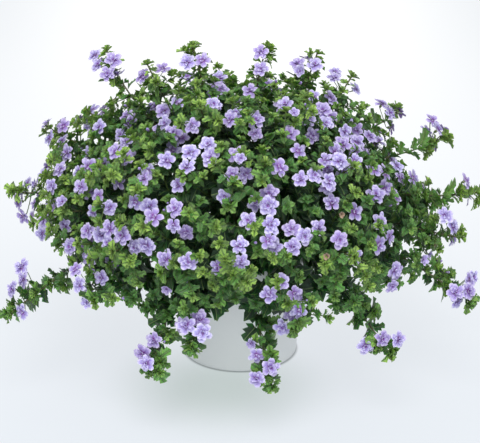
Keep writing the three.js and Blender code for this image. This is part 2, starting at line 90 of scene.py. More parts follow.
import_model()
CAD_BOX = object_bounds()

# The growth rule counts in millimetres, and the meshes are made in metres.
MM = 0.001
SEED = 7
CLEARANCE = 0.45
GOLDEN_ANGLE = math.pi * (3 - math.sqrt(5))
GOLDEN_SHARE = 0.618034
UP = np.array([0.0, 0.0, 1.0])
# Where the light came from as the plant grew: the blooms turn a little that way.
SUNWARD = np.array([0.0, -0.93, 0.37])

POT = SimpleNamespace(height=120, foot=57.5, rim=66.5, wall=4, floor=5)
SOIL = SimpleNamespace(edge=106, crown=110)
ROOTING = SimpleNamespace(radius=46, spacing=9.5, rounds=80, depth=14, collar=2)
STEM = SimpleNamespace(base=1.9, side=1.3, tip=1.0, samples=24)
# How far a stem may bend aside to keep clear of those that stand already.
BEND = SimpleNamespace(width=16, tries=8, clear=1)
# How rooted stems rise and arch over: their slope at the tip in degrees, and how far they run straight.
ARCH = SimpleNamespace(
    level=150, steepening=0.45, lowest=-55, highest=68, lift=0.36, most_lift=0.5, leaving=0.12,
    arriving=0.36)
# Places of the joints, measured back from the tip. Side stems leave from the ones past the branching.
ROOTED_JOINTS = [9, 21, 35, 58, 80, 104, 130]
SIDE_JOINTS = [8, 19, 32, 48]
BRANCHING = 50
BARE_BASE = 8
# A side stem may touch its parent this near to its base.
TOUCHING_BASE = 5
SIDE_STEM = SimpleNamespace(most=2, longest=150, apart=34, clear=5, steepest=0.25, turning=0.35, depth=14)
# How much longer a way to a place a side stem may take, for leaving its parent straight ahead.
DETOUR = 60
# The rounded form that the crown fills: it draws back, by the bay, where it is far from a rooted stem's tip.
MOUND = SimpleNamespace(
    radius=214, height=159, drop=64, centre=138, aside=6, lean=-18, top=292, bottom=88, places=150, near=22,
    bay=0.45)
# In front, the crown ends higher and shows the pot: by azimuth in degrees, how far it goes to each side.
PARTING = SimpleNamespace(azimuth=-90, spread=20, bottom=126)
# A bloom's tube and cup are shares of its radius. It faces along its stalk by at least the facing, and
# towards the light the more, the higher it stands on the crest.
BLOOM = SimpleNamespace(
    radius=9, stalk=10, neck=1, tube=0.45, cup=0.2, lobes=5, tries=9, facing=0.55, crest=(190, 290))
LEAF = SimpleNamespace(length=22, young=14, fold=0.16, droop=0.14)
# Balls that stand for a leaf one long: their distance along it and across it, and their radius.
LEAF_SPOTS = [
    (0.33, 0.19, 0.18), (0.33, -0.19, 0.18), (0.66, 0.13, 0.16), (0.66, -0.13, 0.16), (0.86, 0, 0.14)]
ROSETTE = SimpleNamespace(radius=9.5, lobes=4, lift=0.3, rise=1.2)
# The tip of each rooted stem: azimuth from +X in degrees, reach from the pot's axis and height.
STEM_TIPS = [
    (-153, 249, 88), (-134, 206, 120), (-114, 202, 62), (-103, 197, 92), (-81, 191, 50), (-75, 190, 106),
    (-47, 207, 66), (-25, 246, 98), (34, 228, 92), (62, 212, 68), (92, 208, 84), (121, 208, 66),
    (154, 232, 100),
    (180, 228, 171), (0, 236, 170), (-16, 223, 147),
    (25, 236, 195), (36, 205, 216), (163, 204, 219), (-157, 200, 180), (-126, 198, 174), (-92, 196, 166),
    (-58, 197, 172), (60, 196, 182), (92, 196, 184), (127, 196, 178),
    (152, 177, 228), (38, 145, 263), (-140, 150, 234), (-92, 142, 236), (-44, 148, 236), (96, 134, 248),
    (145, 166, 288), (147, 111, 285), (157, 51, 316), (38, 98, 296), (49, 40, 312), (-120, 76, 284),
    (-38, 80, 286),
]
# Windows of a stem's joints, as joint and side, in the order in which blooms and then leaves take them.
BLOOM_PLACES = [(1, 0), (0, 0), (1, 1), (2, 0), (1, 2), (2, 1), (0, 2), (2, 2)]
LEAF_PLACES = [(2, 1), (2, 2), (1, 2), (1, 1), (0, 1), (0, 2), (3, 0), (3, 1)]
BLOOM_COUNT = 240
LEAF_COUNT = 100

# What the solids leave out. Twigs are short shoots that fill the crown between the tips of the stems.
SHELLS = [
    SimpleNamespace(places=2000, depth=(2, 28), apart=16.5, bottom=96, parting=126, deep=False),
    SimpleNamespace(places=900, depth=(30, 54), apart=19, bottom=98, parting=106, deep=True),
    SimpleNamespace(places=600, depth=(60, 96), apart=21, bottom=100, parting=106, deep=True),
    SimpleNamespace(places=300, depth=(100, 150), apart=22, bottom=112, parting=112, deep=True),
]
# Twigs close the crown right up to this height, and deep ones have larger leaves.
CREST = 296.8
DEEP_LEAF = 1.7
# How far inside the mound a leaf's teeth no longer show.
TOOTHLESS = 30
TWIG = SimpleNamespace(shortest=11, longest=85, base=0.7, tip=0.45, leafy=46, straight=14, tuft=8, samples=8)
# What it costs a twig to start nearer than the shortest one: more than any distance.
TOO_NEAR = 1000
# Where a stem can bear twigs: its distance to the tip and the root, and the steps between.
BEARING = SimpleNamespace(from_tip=10, from_root=20, step=5)
# Short twigs along what trails below a height, or stands nearer than a depth to the mound's surface.
SPRIGS = SimpleNamespace(
    below=125, depth=6, first=10, last=150, from_root=30, step=8, share=0.95, reach=11, widening=0.14,
    widest=90, leafing=1.25, lowest=12)
# Where the plant trails, its leaves are larger and further apart, and its twigs are fewer.
TRAIL = SimpleNamespace(top=130, bottom=95, larger=0.22, sparser=0.35, bare=0.3)
# Leaves darken from the top of this zone down to its bottom: painted shade under the crown, and older
# trailing leaves.
SKIRT = SimpleNamespace(top=165, bottom=100, darker=0.38)
# Pairs of leaves: how far from the tip they start, end and are full-grown, and how low they may hang.
PAIRS = SimpleNamespace(first=5, spacing=6.2, widening=1.04, rooted=130, side=80, full=45, lowest=9)
# The crossed pairs of a rosette, from the outside in: their share of its size, and their tilt.
ROSETTE_PAIRS = [(1.0, 0.25), (0.9, 0.5), (0.7, 0.8), (0.42, 1.15)]
# Blooms that open beside another one: how far from it, behind it and from all others, and how they turn.
COMPANION = SimpleNamespace(
    tries=5, apart=13, clear=11.5, back=5, turning=0.45, sunward=0.7, lowest=112, highest=282,
    proud_first=0.4)
# Blooms and buds on twigs: each pair gives the least, and how much a draw can add.
TWIG_BLOOM = SimpleNamespace(start=(7, 5), stalk=(8, 5), size=(0.62, 0.34), apart=15, bud_apart=7, lowest=16)
# Blooms that share a joint or stand on a twig are turned about their own axis by up to this.
SPIN = 6
# Blooms on the far side stand where the crown faces away, near its surface.
FAR_SIDE = SimpleNamespace(facing=0.15, apart=14, depth=4, larger=1.2)
# The space in front of a bloom where no leaf or twig may stand.
KEEP_OPEN = SimpleNamespace(ahead=16, behind=3, radius=8, of_twigs=2, of_sprigs=-2, of_leaves=-0.7)
# The shapes of each kind of bloom: how full each one is, and how far its petals are closed.
BLOOM_SHAPES = {
    "bloom": [(1, 0), (1, 0), (1, 0), (1, 0), (1, 0), (0.84, 0), (0.84, 0), (0.5, 0)],
    "half_open": [(0.84, 0.5)] * 3,
    "spent": [(0.5, 1)] * 2,
}
# Blooms smaller than this share of a full one are half open, and withered ones have shrunk.
HALF_OPEN = 0.8
SHRUNKEN = 0.7
# How many rings and sides a drawn stem has, its share of the solid's thickness, and how young it looks.
DRAWN_TWIG = SimpleNamespace(rings=6, sides=4, thickness=1, youth=0.9)
DRAWN_STEM = SimpleNamespace(rings=30, sides=6, thickness=0.7, youth=None)
# A stem this long has no young green left.
OLD_STEM = 260
NODES = SimpleNamespace(spacing=11, swelling=0.16)
# How young a leaf looks at first, how much more near a tip and by chance, and where it darkens with depth as
# painted shade.
YOUTH = SimpleNamespace(plain=0.4, at_tip=0.5, chance=0.3, fading=34, lit_depth=8, dark_depth=60)
# The large leaves are coloured like small ones this far from a tip.
LARGE_LEAF_AGE = 60
STALK = SimpleNamespace(radii=[0.55, 0.48, 0.45, 0.5, 0.65], sides=4, arch=0.12, straight=1.5, youth=0.9)
CALYX_YOUTH = 0.7
# The foliage has two materials: the leaves' comes first, and then the stems'.
STEM_FINISH = 1
SEPAL_THICKNESS = 0.03
# How finely the pot is drawn, the ring that it stands on, and the fillet round its floor inside.
POT_SIDES = 128
POT_RINGS = (30, 60, 90)
FOOT_RING = SimpleNamespace(width=8, slant=1, hollow=0.6)
FILLET = SimpleNamespace(width=3, height=1)
# How finely the soil is drawn, its gaps to the pot, how uneven it is, and its crumbs.
SOIL_FORM = SimpleNamespace(sides=96, rings=22, inner=2, wall_gap=0.6, floor_gap=0.5, uneven=(-0.8, 0.6))
CRUMBS = SimpleNamespace(count=420, size=(0.5, 1.9), from_wall=3)
# The studio, in metres: its lamps, its floor, which glows from below, its sky, and the camera's film in mm.
LAMPS = [
    SimpleNamespace(name="key_light", size=1.5, place=(-0.1, -1.3, 2.2), colour=(1.0, 0.985, 0.96)),
    SimpleNamespace(name="fill_light", size=1.4, place=(1.6, -1.8, 0.9), colour=(1.0, 1.0, 1.0)),
    SimpleNamespace(name="low_light", size=1.2, place=(-0.4, -2.4, 0.5), colour=(1.0, 1.0, 1.0)),
]
# The floor's glow is painted light: it brightens into the distance and dims to the sides, with a painted
# contact shadow at the pot's foot and a painted reflection of the pot.
FLOOR = SimpleNamespace(
    half=9.0, patches=(0.08, 0.09, 0.1), clouds=(0.5, 0.53, 0.57), distance=(0.95, 0.95, 0.95),
    sides=(0.63, 0.66, 0.69), painted_reflection=(0.47, 0.53, 0.52), shadow=(0.12, 0.14, 0.14))
SKY = (0.95, 0.975, 1.0)
FILM = 36


def srgb(red, green, blue):
    """A colour given in 0 to 255 as it looks on a screen, in the renderer's linear numbers."""
    shares = [value / 255 for value in (red, green, blue)]
    return tuple(share / 12.92 if share < 0.04 else ((share + 0.055) / 1.055) ** 2.4 for share in shares)


def length_property(name, description, default):
    return bpy.props.FloatProperty(
        name=name, description=description, default=default, unit="LENGTH", subtype="DISTANCE")


def count_property(name, description, default):
    return bpy.props.IntProperty(name=name, description=description, default=default)


def share_property(name, description, default):
    return bpy.props.FloatProperty(name=name, description=description, default=default, subtype="FACTOR")


def power_property(name, description, default):
    return bpy.props.FloatProperty(name=name, description=description, default=default, unit="POWER")


def colour_property(name, description, colour):
    return bpy.props.FloatVectorProperty(
        name=name, description=description, default=srgb(*colour), subtype="COLOR", size=3)


class BacopaSizes(bpy.types.PropertyGroup):
    mature_leaf: length_property("Mature leaf", "Length of a full-grown leaf with its stalk", 0.0138)
    young_leaf: length_property("Young leaf", "Length of the largest leaves in a tip's rosette", 0.0086)
    blade_thickness: length_property("Blade thickness", "Thickness of a leaf at its rib", 0.0005)
    petal_thickness: length_property("Petal thickness", "Thickness of a petal at its middle", 0.0004)
    companions: count_property("Companions", "Blooms that stand beside another one in a cluster", 84)
    twig_blooms: count_property("Twig blooms", "Blooms on the twigs, besides the ones of the stems", 40)
    far_blooms: count_property("Far blooms", "Blooms on the twigs of the far side", 44)
    buds: count_property("Buds", "Buds that show colour", 40)
    spent_share: share_property("Spent share", "Share of the twigs' blooms that have withered", 0.2)
    pot_rounding: length_property("Pot rounding", "Radius of the pot's foot and lip", 0.002)


class BacopaColours(bpy.types.PropertyGroup):
    # The old leaf colour is also the painted shade at leaves' bases, in their veins and deep in the crown.
    old_and_shaded_leaf: colour_property("Old leaf", "Leaves deep in the crown", (16, 48, 24))
    grown_leaf: colour_property("Grown leaf", "Full-grown leaves", (87, 146, 67))
    young_leaf: colour_property("Young leaf", "Leaves round a growing tip", (148, 188, 82))
    leaf_vein: colour_property("Leaf vein", "The rib and veins of a leaf", (150, 182, 100))
    young_stem: colour_property("Young stem", "Soft stems near a tip", (78, 102, 44))
    old_stem: colour_property("Old stem", "Stems near their root", (76, 74, 40))
    petal: colour_property("Petal", "The face of a petal", (157, 149, 210))
    petal_edge: colour_property("Petal edge", "The pale margin of a petal", (216, 213, 243))
    throat: colour_property("Throat", "The lines and base of a petal", (114, 32, 130))
    tube: colour_property("Tube", "The foot of a bloom's tube", (206, 214, 140))
    spent: colour_property("Spent bloom", "Withered petals", (156, 132, 96))
    pot: colour_property("Pot", "The pot's satin white", (222, 225, 226))
    soil: colour_property("Soil", "Moist potting soil", (52, 38, 28))
    floor: colour_property("Floor", "The floor under the pot", (97, 99, 101))
    glow: colour_property("Floor glow", "What the floor, lit from below, gives off", (214, 219, 225))


class BacopaStage(bpy.types.PropertyGroup):
    camera_distance: length_property("Camera distance", "From the camera to the middle of the plant", 1.9)
    camera_height: bpy.props.FloatProperty(
        name="Camera angle", description="How far above the horizon the camera stands",
        default=math.radians(22), unit="ROTATION", subtype="ANGLE")
    view_width: length_property("View width", "What the picture spans across the middle of the plant", 0.48)
    middle: length_property("Middle", "Height of the point that the camera looks at", 0.139)
    key_power: power_property("Key light", "Power of the large light above", 56)
    fill_power: power_property("Fill light", "Power of the light in front", 8)
    low_power: power_property("Low light", "Power of the light that reaches under the leaves", 10)
    sky: share_property("Sky", "Strength of the light from all round", 0.6)


# Vectors and places


def held(value, low=0, high=1):
    """A number kept between two others."""
    return min(max(value, low), high)


def nearest(places, place):
    """The distance from a place to the nearest of others."""
    return np.min(np.linalg.norm(np.array(places) - place, axis=1))


def unit(ways):
    """Directions at unit length."""
    return ways / np.linalg.norm(ways, axis=-1, keepdims=True)


def squared(way, off):
    """A direction freed of its part along another one, at unit length."""
    return unit(way - off * np.dot(way, off))


def rotated(way, axis, angle):
    """A direction turned about an axis."""
    turned = way * math.cos(angle) + np.cross(axis, way) * math.sin(angle)
    return turned + axis * np.dot(axis, way) * (1 - math.cos(angle))


def any_square(way):
    """A direction at a right angle to another one."""
    return squared(UP if abs(way[2]) < 0.9 else np.array([1.0, 0.0, 0.0]), way)


def stand(origin, along, face, size=1.0):
    """The place and turn of a piece that is drawn with its face along +Z."""
    x = squared(along, face)
    place = np.eye(4)
    place[:3, :3] = np.stack([x, np.cross(face, x), face], axis=1) * size
    place[:3, 3] = origin
    return place


def scaled(place, size):
    """A place whose piece is drawn larger or smaller."""
    made = place.copy()
    made[:3, :3] *= size
    return made


def facing_place(centre, facing, spin):
    """The place of a piece that faces a way and is turned about it."""
    return stand(centre, rotated(any_square(facing), facing, spin), facing)


def outward(place):
    """The way out of the mound at a place, square to its rounded surface."""
    rise = max(place[2] - MOUND.centre, 0) / MOUND.height**2
    return unit(np.array([place[0] / MOUND.radius**2, place[1] / MOUND.radius**2, rise + 1e-6]))


def mound_place(azimuth, z):
    """The place on the mound at a height and an azimuth."""
    rise = z - MOUND.centre
    share = held(rise / (MOUND.height if rise > 0 else MOUND.drop), -1)
    reach = MOUND.radius * math.sqrt(1 - share * share)
    lean = MOUND.aside + MOUND.lean * math.sin(math.pi * max(share, 0))
    return np.array([reach * math.cos(azimuth) + lean, reach * math.sin(azimuth), z])


def depth_inside(place):
    """How far inside the mound a place lies, roughly."""
    rise = place[2] - MOUND.centre
    level = rise / (MOUND.height if rise > 0 else MOUND.drop)
    return MOUND.radius * (1 - math.hypot(place[0] / MOUND.radius, place[1] / MOUND.radius, level))


def in_parting(place, bottom=PARTING.bottom):
    """True in front of the pot, where the crown ends higher."""
    turn = math.atan2(place[1], place[0]) - math.radians(PARTING.azimuth)
    return place[2] < bottom and abs(turn) < math.radians(PARTING.spread)


def bezier(start, early, late, end, steps):
    """Points along a curve that two inner points pull."""
    t = np.linspace(0, 1, steps + 1)[:, None]
    return (1 - t)**3 * start + 3 * (1 - t)**2 * t * early + 3 * (1 - t) * t**2 * late + t**3 * end


# Growth: the same rule and draws as the solids


class Draws:
    """Seeded draws from 0 to 1."""

    def __init__(self, seed):
        self.state = seed

    def __call__(self):
        self.state = (self.state * 1664525 + 1013904223) % 2**32
        return self.state / 2**32


draw = Draws(SEED)


def varied(low, spread):
    """A draw from a value up to a spread above it."""
    return low + spread * draw()


def sway(spread):
    """A draw to either side of nothing."""
    return (draw() - 0.5) * spread


def any_angle():
    return draw() * 2 * math.pi


def rooting_places():
    """Where each stem is rooted: low shoots near the wall and tall ones near the middle, spread apart."""
    places = []
    for azimuth, reach, height in STEM_TIPS:
        rise = max(0.0, math.atan2(height - SOIL.crown, reach))
        places.append(cmath.rect(ROOTING.radius * math.cos(rise)**0.8, math.radians(azimuth)))
    for _ in range(ROOTING.rounds):
        for i, j in itertools.combinations(range(len(places)), 2):
            between = places[j] - places[i]
            push = max(0.0, ROOTING.spacing - abs(between)) / 2
            step = between / (abs(between) or 1) * push
            places[i] -= step
            places[j] += step
        places = [place * min(1.0, ROOTING.radius / (abs(place) or 1)) for place in places]
    return places


def make_stem(number, parent, points, base, joints=(), tip=STEM.tip):
    """A stem: its centre line, its thickness and its joints, with three windows each."""
    lengths = np.concatenate([[0], np.cumsum(np.linalg.norm(np.diff(points, axis=0), axis=1))])
    ways = unit(np.diff(points, axis=0))
    ways = np.concatenate([ways[:1], ways])
    out = outward(points[-1])
    start = out if abs(out @ ways[-1]) < 0.97 else np.array([0.6, 0.8, 0.0])
    across = rotated(squared(start, ways[-1]), ways[-1], sway(0.9))
    acrosses = []
    for way in ways[::-1]:
        across = squared(across, way)
        acrosses.insert(0, across)
    stem = SimpleNamespace(
        number=number, parent=parent, points=points, lengths=lengths, length=lengths[-1], base=base,
        tip=tip, acrosses=np.array(acrosses), branches=0, rosette=None, deep=False, leafing=1)
    stem.joints = [make_joint(stem, at) for at in joints if at < stem.length - BARE_BASE]
    return stem


def along_stem(stem, from_tip):
    """The point, direction, thickness and a sideways direction of a stem at a distance from its tip."""
    wanted = max(0.0, stem.length - from_tip)
    i = min(max(1, int(np.searchsorted(stem.lengths, wanted))), len(stem.points) - 1)
    share = (wanted - stem.lengths[i - 1]) / (stem.lengths[i] - stem.lengths[i - 1])
    point = (1 - share) * stem.points[i - 1] + share * stem.points[i]
    direction = unit(stem.points[i] - stem.points[i - 1])
    radius = stem.base + (stem.tip - stem.base) * wanted / stem.length
    across = squared((1 - share) * stem.acrosses[i - 1] + share * stem.acrosses[i], direction)
    return point, direction, radius, across


joint_keys = itertools.count()


def make_joint(stem, at):
    """A node of a stem, with three windows round it where something can grow."""
    point, direction, _, across = along_stem(stem, at)
    sides = np.array([rotated(across, direction, side * 2 * math.pi / 3) for side in range(3)])
    return SimpleNamespace(
        key=next(joint_keys), stem=stem, at=at, point=point, direction=direction, sides=sides,
        grown=[None, None, None])


class Balls:
    """Balls that stand for a piece, or for all that has grown, so that the next piece keeps clear."""

    def __init__(self, centres=(), radii=(), stalks=None, stem=-1, joint=-1):
        count = len(radii)
        self.centres = np.reshape(np.array(centres, float), (count, 3))
        self.radii = np.array(radii, float)
        self.stalks = np.array([False] * count if stalks is None else stalks, bool)
        self.stems = np.full(count, stem)
        self.joints = np.where(self.stalks, joint, -1)

    def add(self, other):
        for name in ("centres", "radii", "stalks", "stems", "joints"):
            setattr(self, name, np.concatenate([getattr(self, name), getattr(other, name)]))

    def only(self, mask):
        kept = Balls(self.centres[mask], self.radii[mask])
        kept.stalks, kept.stems, kept.joints = self.stalks[mask], self.stems[mask], self.joints[mask]
        return kept


def stem_balls(stem):
    """Balls along a stem, a little thicker than it is."""
    spots = [along_stem(stem, at)[::2] for at in np.arange(0, stem.length, 4)]
    return Balls([point for point, _ in spots], [radius + 0.3 for _, radius in spots], stem=stem.number)


def meets_pot(centres, radii):
    """True where a ball would touch the pot, or the soil in it."""
    reach = np.hypot(centres[:, 0], centres[:, 1])
    outside = reach - radii > POT.rim + CLEARANCE
    within = reach + radii < POT.rim - POT.wall - CLEARANCE
    limit = np.where(within, SOIL.crown, POT.height) + CLEARANCE
    return bool(np.any(~outside & (centres[:, 2] - radii < limit)))


def is_clear(balls, standing, joint=None, extra=0.0):
    """True where no ball of a new piece touches what stands there. Its stalk may touch its own stem."""
    if meets_pot(balls.centres, balls.radii):
        return False
    middle = balls.centres.mean(axis=0)
    reach = np.max(np.linalg.norm(balls.centres - middle, axis=1) + balls.radii) + CLEARANCE + extra
    near = np.sum((standing.centres - middle)**2, axis=1) <= (reach + standing.radii)**2
    if not near.any():
        return True
    other = standing.only(near)
    apart = balls.radii[:, None] + other.radii + CLEARANCE + extra
    clear = np.sum((balls.centres[:, None] - other.centres)**2, axis=2) > apart**2
    if joint is not None:
        own = (other.stems == joint.stem.number) | (other.joints == joint.key)
        clear |= balls.stalks[:, None] & own
    return bool(clear.all())


def rooted_stem(number, tip, root, standing):
    """A rooted stem rises from its hole and arches outwards to its tip, with a bend that keeps it clear."""
    azimuth, reach, height = tip
    out = np.array([math.cos(math.radians(azimuth)), math.sin(math.radians(azimuth)), 0])
    aside = np.array([-out[1], out[0], 0])
    end = out * reach + UP * height
    collar = np.array([root.real, root.imag, SOIL.crown + ROOTING.collar])
    span = np.linalg.norm(end - collar)
    slope = math.radians(held((height - ARCH.level) * ARCH.steepening, ARCH.lowest, ARCH.highest))
    heading = math.cos(slope) * out + math.sin(slope) * UP
    lift = held(ARCH.lift + (height - 60) / 1200, ARCH.lift, ARCH.most_lift)
    rising = collar + ARCH.leaving * span * out + lift * span * UP
    line = bezier(collar, rising, end - ARCH.arriving * span * heading, end, STEM.samples)
    arch = np.sin(math.pi * np.arange(STEM.samples + 1) / STEM.samples)[:, None]
    for attempt in range(BEND.tries):
        bend = sway(BEND.width) * (1 + attempt / 3)
        points = line + aside * bend * arch
        if is_clear(Balls(points[2:], [STEM.base] * (len(points) - 2)), standing, None, BEND.clear):
            break
    foot = np.array([root.real, root.imag, SOIL.crown - ROOTING.depth])
    return make_stem(number, None, np.vstack([foot, points]), STEM.base, ROOTED_JOINTS)


def mound_places(count, top, bottom, depths, tips, parting=PARTING.bottom):
    """Places spread evenly over the mound, each a little way inside it and more so away from the tips."""
    for i in range(count):
        share = (i + 0.5) / count
        place = mound_place(i * GOLDEN_ANGLE, (1 - share) * top + share * bottom)
        bay = MOUND.bay * max(0, nearest(tips, place) - MOUND.near)
        place = place - outward(place) * (varied(depths[0], depths[1] - depths[0]) + bay)
        if not in_parting(place, parting):
            yield place


def side_stem(number, end, rooted, standing):
    """A side stem grows to an empty place from the joint that leads there best, if a way there is clear."""
    best = None
    for joint in (joint for parent in rooted if parent.branches < SIDE_STEM.most for joint in parent.joints):
        between = end - joint.point
        distance = np.linalg.norm(between)
        way = between / distance
        turnings = joint.sides @ way
        side = int(np.argmax(turnings))
        ahead = way @ joint.direction
        cost = distance - DETOUR * ahead
        if joint.at <= BRANCHING or distance > SIDE_STEM.longest or ahead < SIDE_STEM.steepest:
            continue
        if turnings[side] < SIDE_STEM.turning or joint.grown[side] or (best and cost > best.cost):
            continue
        leaving = unit(joint.sides[side] + joint.direction)
        arriving = unit(outward(end) + way)
        early, late = joint.point + 0.3 * distance * leaving, end - 0.35 * distance * arriving
        points = bezier(joint.point, early, late, end, STEM.samples // 2)
        stalks = np.arange(len(points)) < 2
        if is_clear(Balls(points, [STEM.side] * len(points), stalks), standing, joint, SIDE_STEM.clear):
            best = SimpleNamespace(cost=cost, points=points, joint=joint, side=side)
    if not best:
        return None
    stem = make_stem(number, best.joint, best.points, STEM.side, SIDE_JOINTS)
    best.joint.grown[best.side] = SimpleNamespace(kind="stem", stem=stem)
    best.joint.stem.branches += 1
    return stem


def lobed_balls(place, size, lobes, lift, stalk=(), **owner):
    """Balls over a flat piece with lobes: one in the middle and one on each lobe."""
    angles = 2 * math.pi * np.arange(lobes) / lobes
    spots = np.stack([np.cos(angles), np.sin(angles), np.full(lobes, lift)], axis=1) * 0.7 * size
    spots = np.vstack([[0, 0, lift * size * 0.5], spots]) @ place[:3, :3].T + place[:3, 3]
    radii = [size * 0.6] + [size * 0.34] * lobes + [BLOOM.neck + 0.3] * len(stalk)
    centres = np.vstack([spots, *stalk])
    return Balls(centres, radii, np.arange(len(radii)) > lobes, **owner)


def crest_share(place):
    """How far up towards the plant's crest a place is, from 0 to 1."""
    return held((place[2] - BLOOM.crest[0]) / (BLOOM.crest[1] - BLOOM.crest[0]))


def bloom_facing(centre, way):
    """The way that a bloom faces: out of the crown, along its stalk and towards the light."""
    crest = crest_share(centre)
    turned = (1 - crest) * squared(centre, UP) + (1 + 1.2 * crest) * SUNWARD
    return unit(outward(centre) + way + turned)


def place_bloom(joint, side, standing):
    """A bloom on a stalk from one window of a joint, or nothing if no place for it is clear."""
    normal = joint.sides[side]
    aside = np.cross(joint.direction, normal)
    out = outward(joint.point)
    for _ in range(BLOOM.tries):
        size = BLOOM.radius * varied(0.86, 0.22)
        jitter = sway(joint.direction) + sway(aside)
        reach = BLOOM.stalk * varied(0.9, 0.5) + size * BLOOM.tube
        spin = any_angle()
        way = unit(0.8 * normal + 0.45 * out + 1.2 * jitter)
        if way @ normal < 0.35 or way @ out < -0.1:
            continue
        centre = joint.point + reach * way
        facing = bloom_facing(centre, way)
        if facing @ way < BLOOM.facing:
            continue
        place = facing_place(centre, facing, spin)
        stalk = [joint.point + share * reach * way for share in (0.3, 0.5, 0.7)]
        balls = lobed_balls(place, size, BLOOM.lobes, BLOOM.cup, stalk, joint=joint.key)
        if centre[2] < size + 6 or not is_clear(balls, standing, joint):
            continue
        standing.add(balls)
        return SimpleNamespace(kind="bloom", size=size, place=place, root=joint.point)
    return None


def blade_point(x, y):
    """A point of a leaf one long, with its fold and droop."""
    return np.array([x, y, LEAF.fold * abs(y) - LEAF.droop * x * x])


def place_leaf(joint, side, standing):
    """A large leaf from one window of a joint, spread sideways and rising towards the stem's tip."""
    length = (LEAF.young if joint.at < 15 else LEAF.length) * varied(0.88, 0.24)
    for rise in (0.5, 0.9, 0.2, -0.1):
        way = unit(joint.sides[side] + rise * joint.direction + 0.25 * outward(joint.point))
        place = stand(joint.point + 0.6 * joint.sides[side], way, squared(joint.direction, way))
        spots = np.array([blade_point(x, y) * length for x, y, _ in LEAF_SPOTS])
        centres = spots @ place[:3, :3].T + place[:3, 3]
        balls = Balls(centres, [radius * length for _, _, radius in LEAF_SPOTS])
        if centres[:, 2].min() < 8 or not is_clear(balls, standing, joint):
            continue
        standing.add(balls)
        return SimpleNamespace(kind="leaf", length=length, place=place)
    return None


def place_rosette(stem, standing):
    """The young leaves round a stem's growing point."""
    point, direction, _, _ = along_stem(stem, 0)
    face = unit(0.8 * direction + 0.4 * outward(point))
    size = ROSETTE.radius * varied(0.85, 0.3)
    place = facing_place(point + ROSETTE.rise * face, face, draw() * math.pi)
    standing.add(lobed_balls(place, size, ROSETTE.lobes, ROSETTE.lift, stem=stem.number))
    return SimpleNamespace(size=size, place=place)


def fill_windows(stems, places, count, placing):
    """Gives each stem in turn one more piece, in the first of its windows that has room for it."""
    left = count
    for _ in places:
        for stem in stems:
            for at, side in places:
                if left == 0 or at >= len(stem.joints) or stem.joints[at].grown[side]:
                    continue
                stem.joints[at].grown[side] = placing(stem.joints[at], side)
                if stem.joints[at].grown[side]:
                    left -= 1
                    break


def grow_stems():
    """Stems, the rosettes at their tips, blooms and the larger leaves, as in the solids."""
    standing = Balls()
    stems = []
    for number, (tip, root) in enumerate(zip(STEM_TIPS, rooting_places())):
        stems.append(rooted_stem(number, tip, root, standing))
        standing.add(stem_balls(stems[-1]))
    rooted = list(stems)
    tips = [stem.points[-1] for stem in stems]
    empty = []
    for place in mound_places(MOUND.places, MOUND.top, MOUND.bottom, (0, SIDE_STEM.depth), np.array(tips)):
        if nearest(tips + empty, place) > SIDE_STEM.apart:
            empty.append(place)
    for place in empty:
        made = side_stem(len(stems), place, rooted, standing)
        if made:
            stems.append(made)
            balls = stem_balls(made)
            away = np.linalg.norm(balls.centres - made.parent.point, axis=1) > TOUCHING_BASE
            standing.add(balls.only(away))
    for stem in stems:
        stem.rosette = place_rosette(stem, standing)
    fill_windows(stems, BLOOM_PLACES, BLOOM_COUNT, lambda joint, side: place_bloom(joint, side, standing))
    fill_windows(stems, LEAF_PLACES, LEAF_COUNT, lambda joint, side: place_leaf(joint, side, standing))
    return stems


# Growth: what the solids leave out


def spray_of(stem):
    """The number of the spray that a stem belongs to."""
    return stem.number if stem.parent is None else spray_of(stem.parent.stem)


def blooms_of(sprays):
    return [bloom for spray in sprays for bloom in spray.blooms]


def centres_of(blooms):
    return [bloom.place[:3, 3] for bloom in blooms]


def opening_blocked(points, blooms, margin=0.0):
    """For each point, whether it lies in or in front of a bloom."""
    facings = np.array([bloom.place[:3, 2] for bloom in blooms])
    between = np.asarray(points)[:, None] - np.array(centres_of(blooms))
    ahead = np.sum(between * facings, axis=2)
    aside = np.sqrt(np.maximum(np.sum(between**2, axis=2) - ahead**2, 0))
    inside = (ahead > -KEEP_OPEN.behind) & (ahead < KEEP_OPEN.ahead)
    return np.any(inside & (aside < KEEP_OPEN.radius + margin), axis=1)


def make_twig(bearer, base_point, direction, end, deep=False, leafing=1):
    """A short shoot from a stem to an end, leaving along the stem and arriving outwards."""
    between = end - base_point
    distance = np.linalg.norm(between)
    way = between / distance
    early = base_point + 0.35 * distance * unit(way + 0.5 * direction)
    late = end - 0.3 * distance * unit(0.6 * outward(end) + way)
    points = bezier(base_point, early, late, end, TWIG.samples)
    joint = SimpleNamespace(stem=bearer, point=base_point)
    twig = make_stem(None, joint, points, TWIG.base, tip=TWIG.tip)
    twig.deep, twig.leafing = deep, leafing
    return twig


def no_room(place, blooms, margin):
    """True where a twig's tip would stand before a bloom or meet the pot."""
    return opening_blocked([place], blooms, margin)[0] or meets_pot(place[None], np.array([TWIG.tuft]))


def bearing_places(stem):
    """The distances from a stem's tip at which it can bear twigs."""
    return np.arange(BEARING.from_tip, stem.length - BEARING.from_root, BEARING.step)


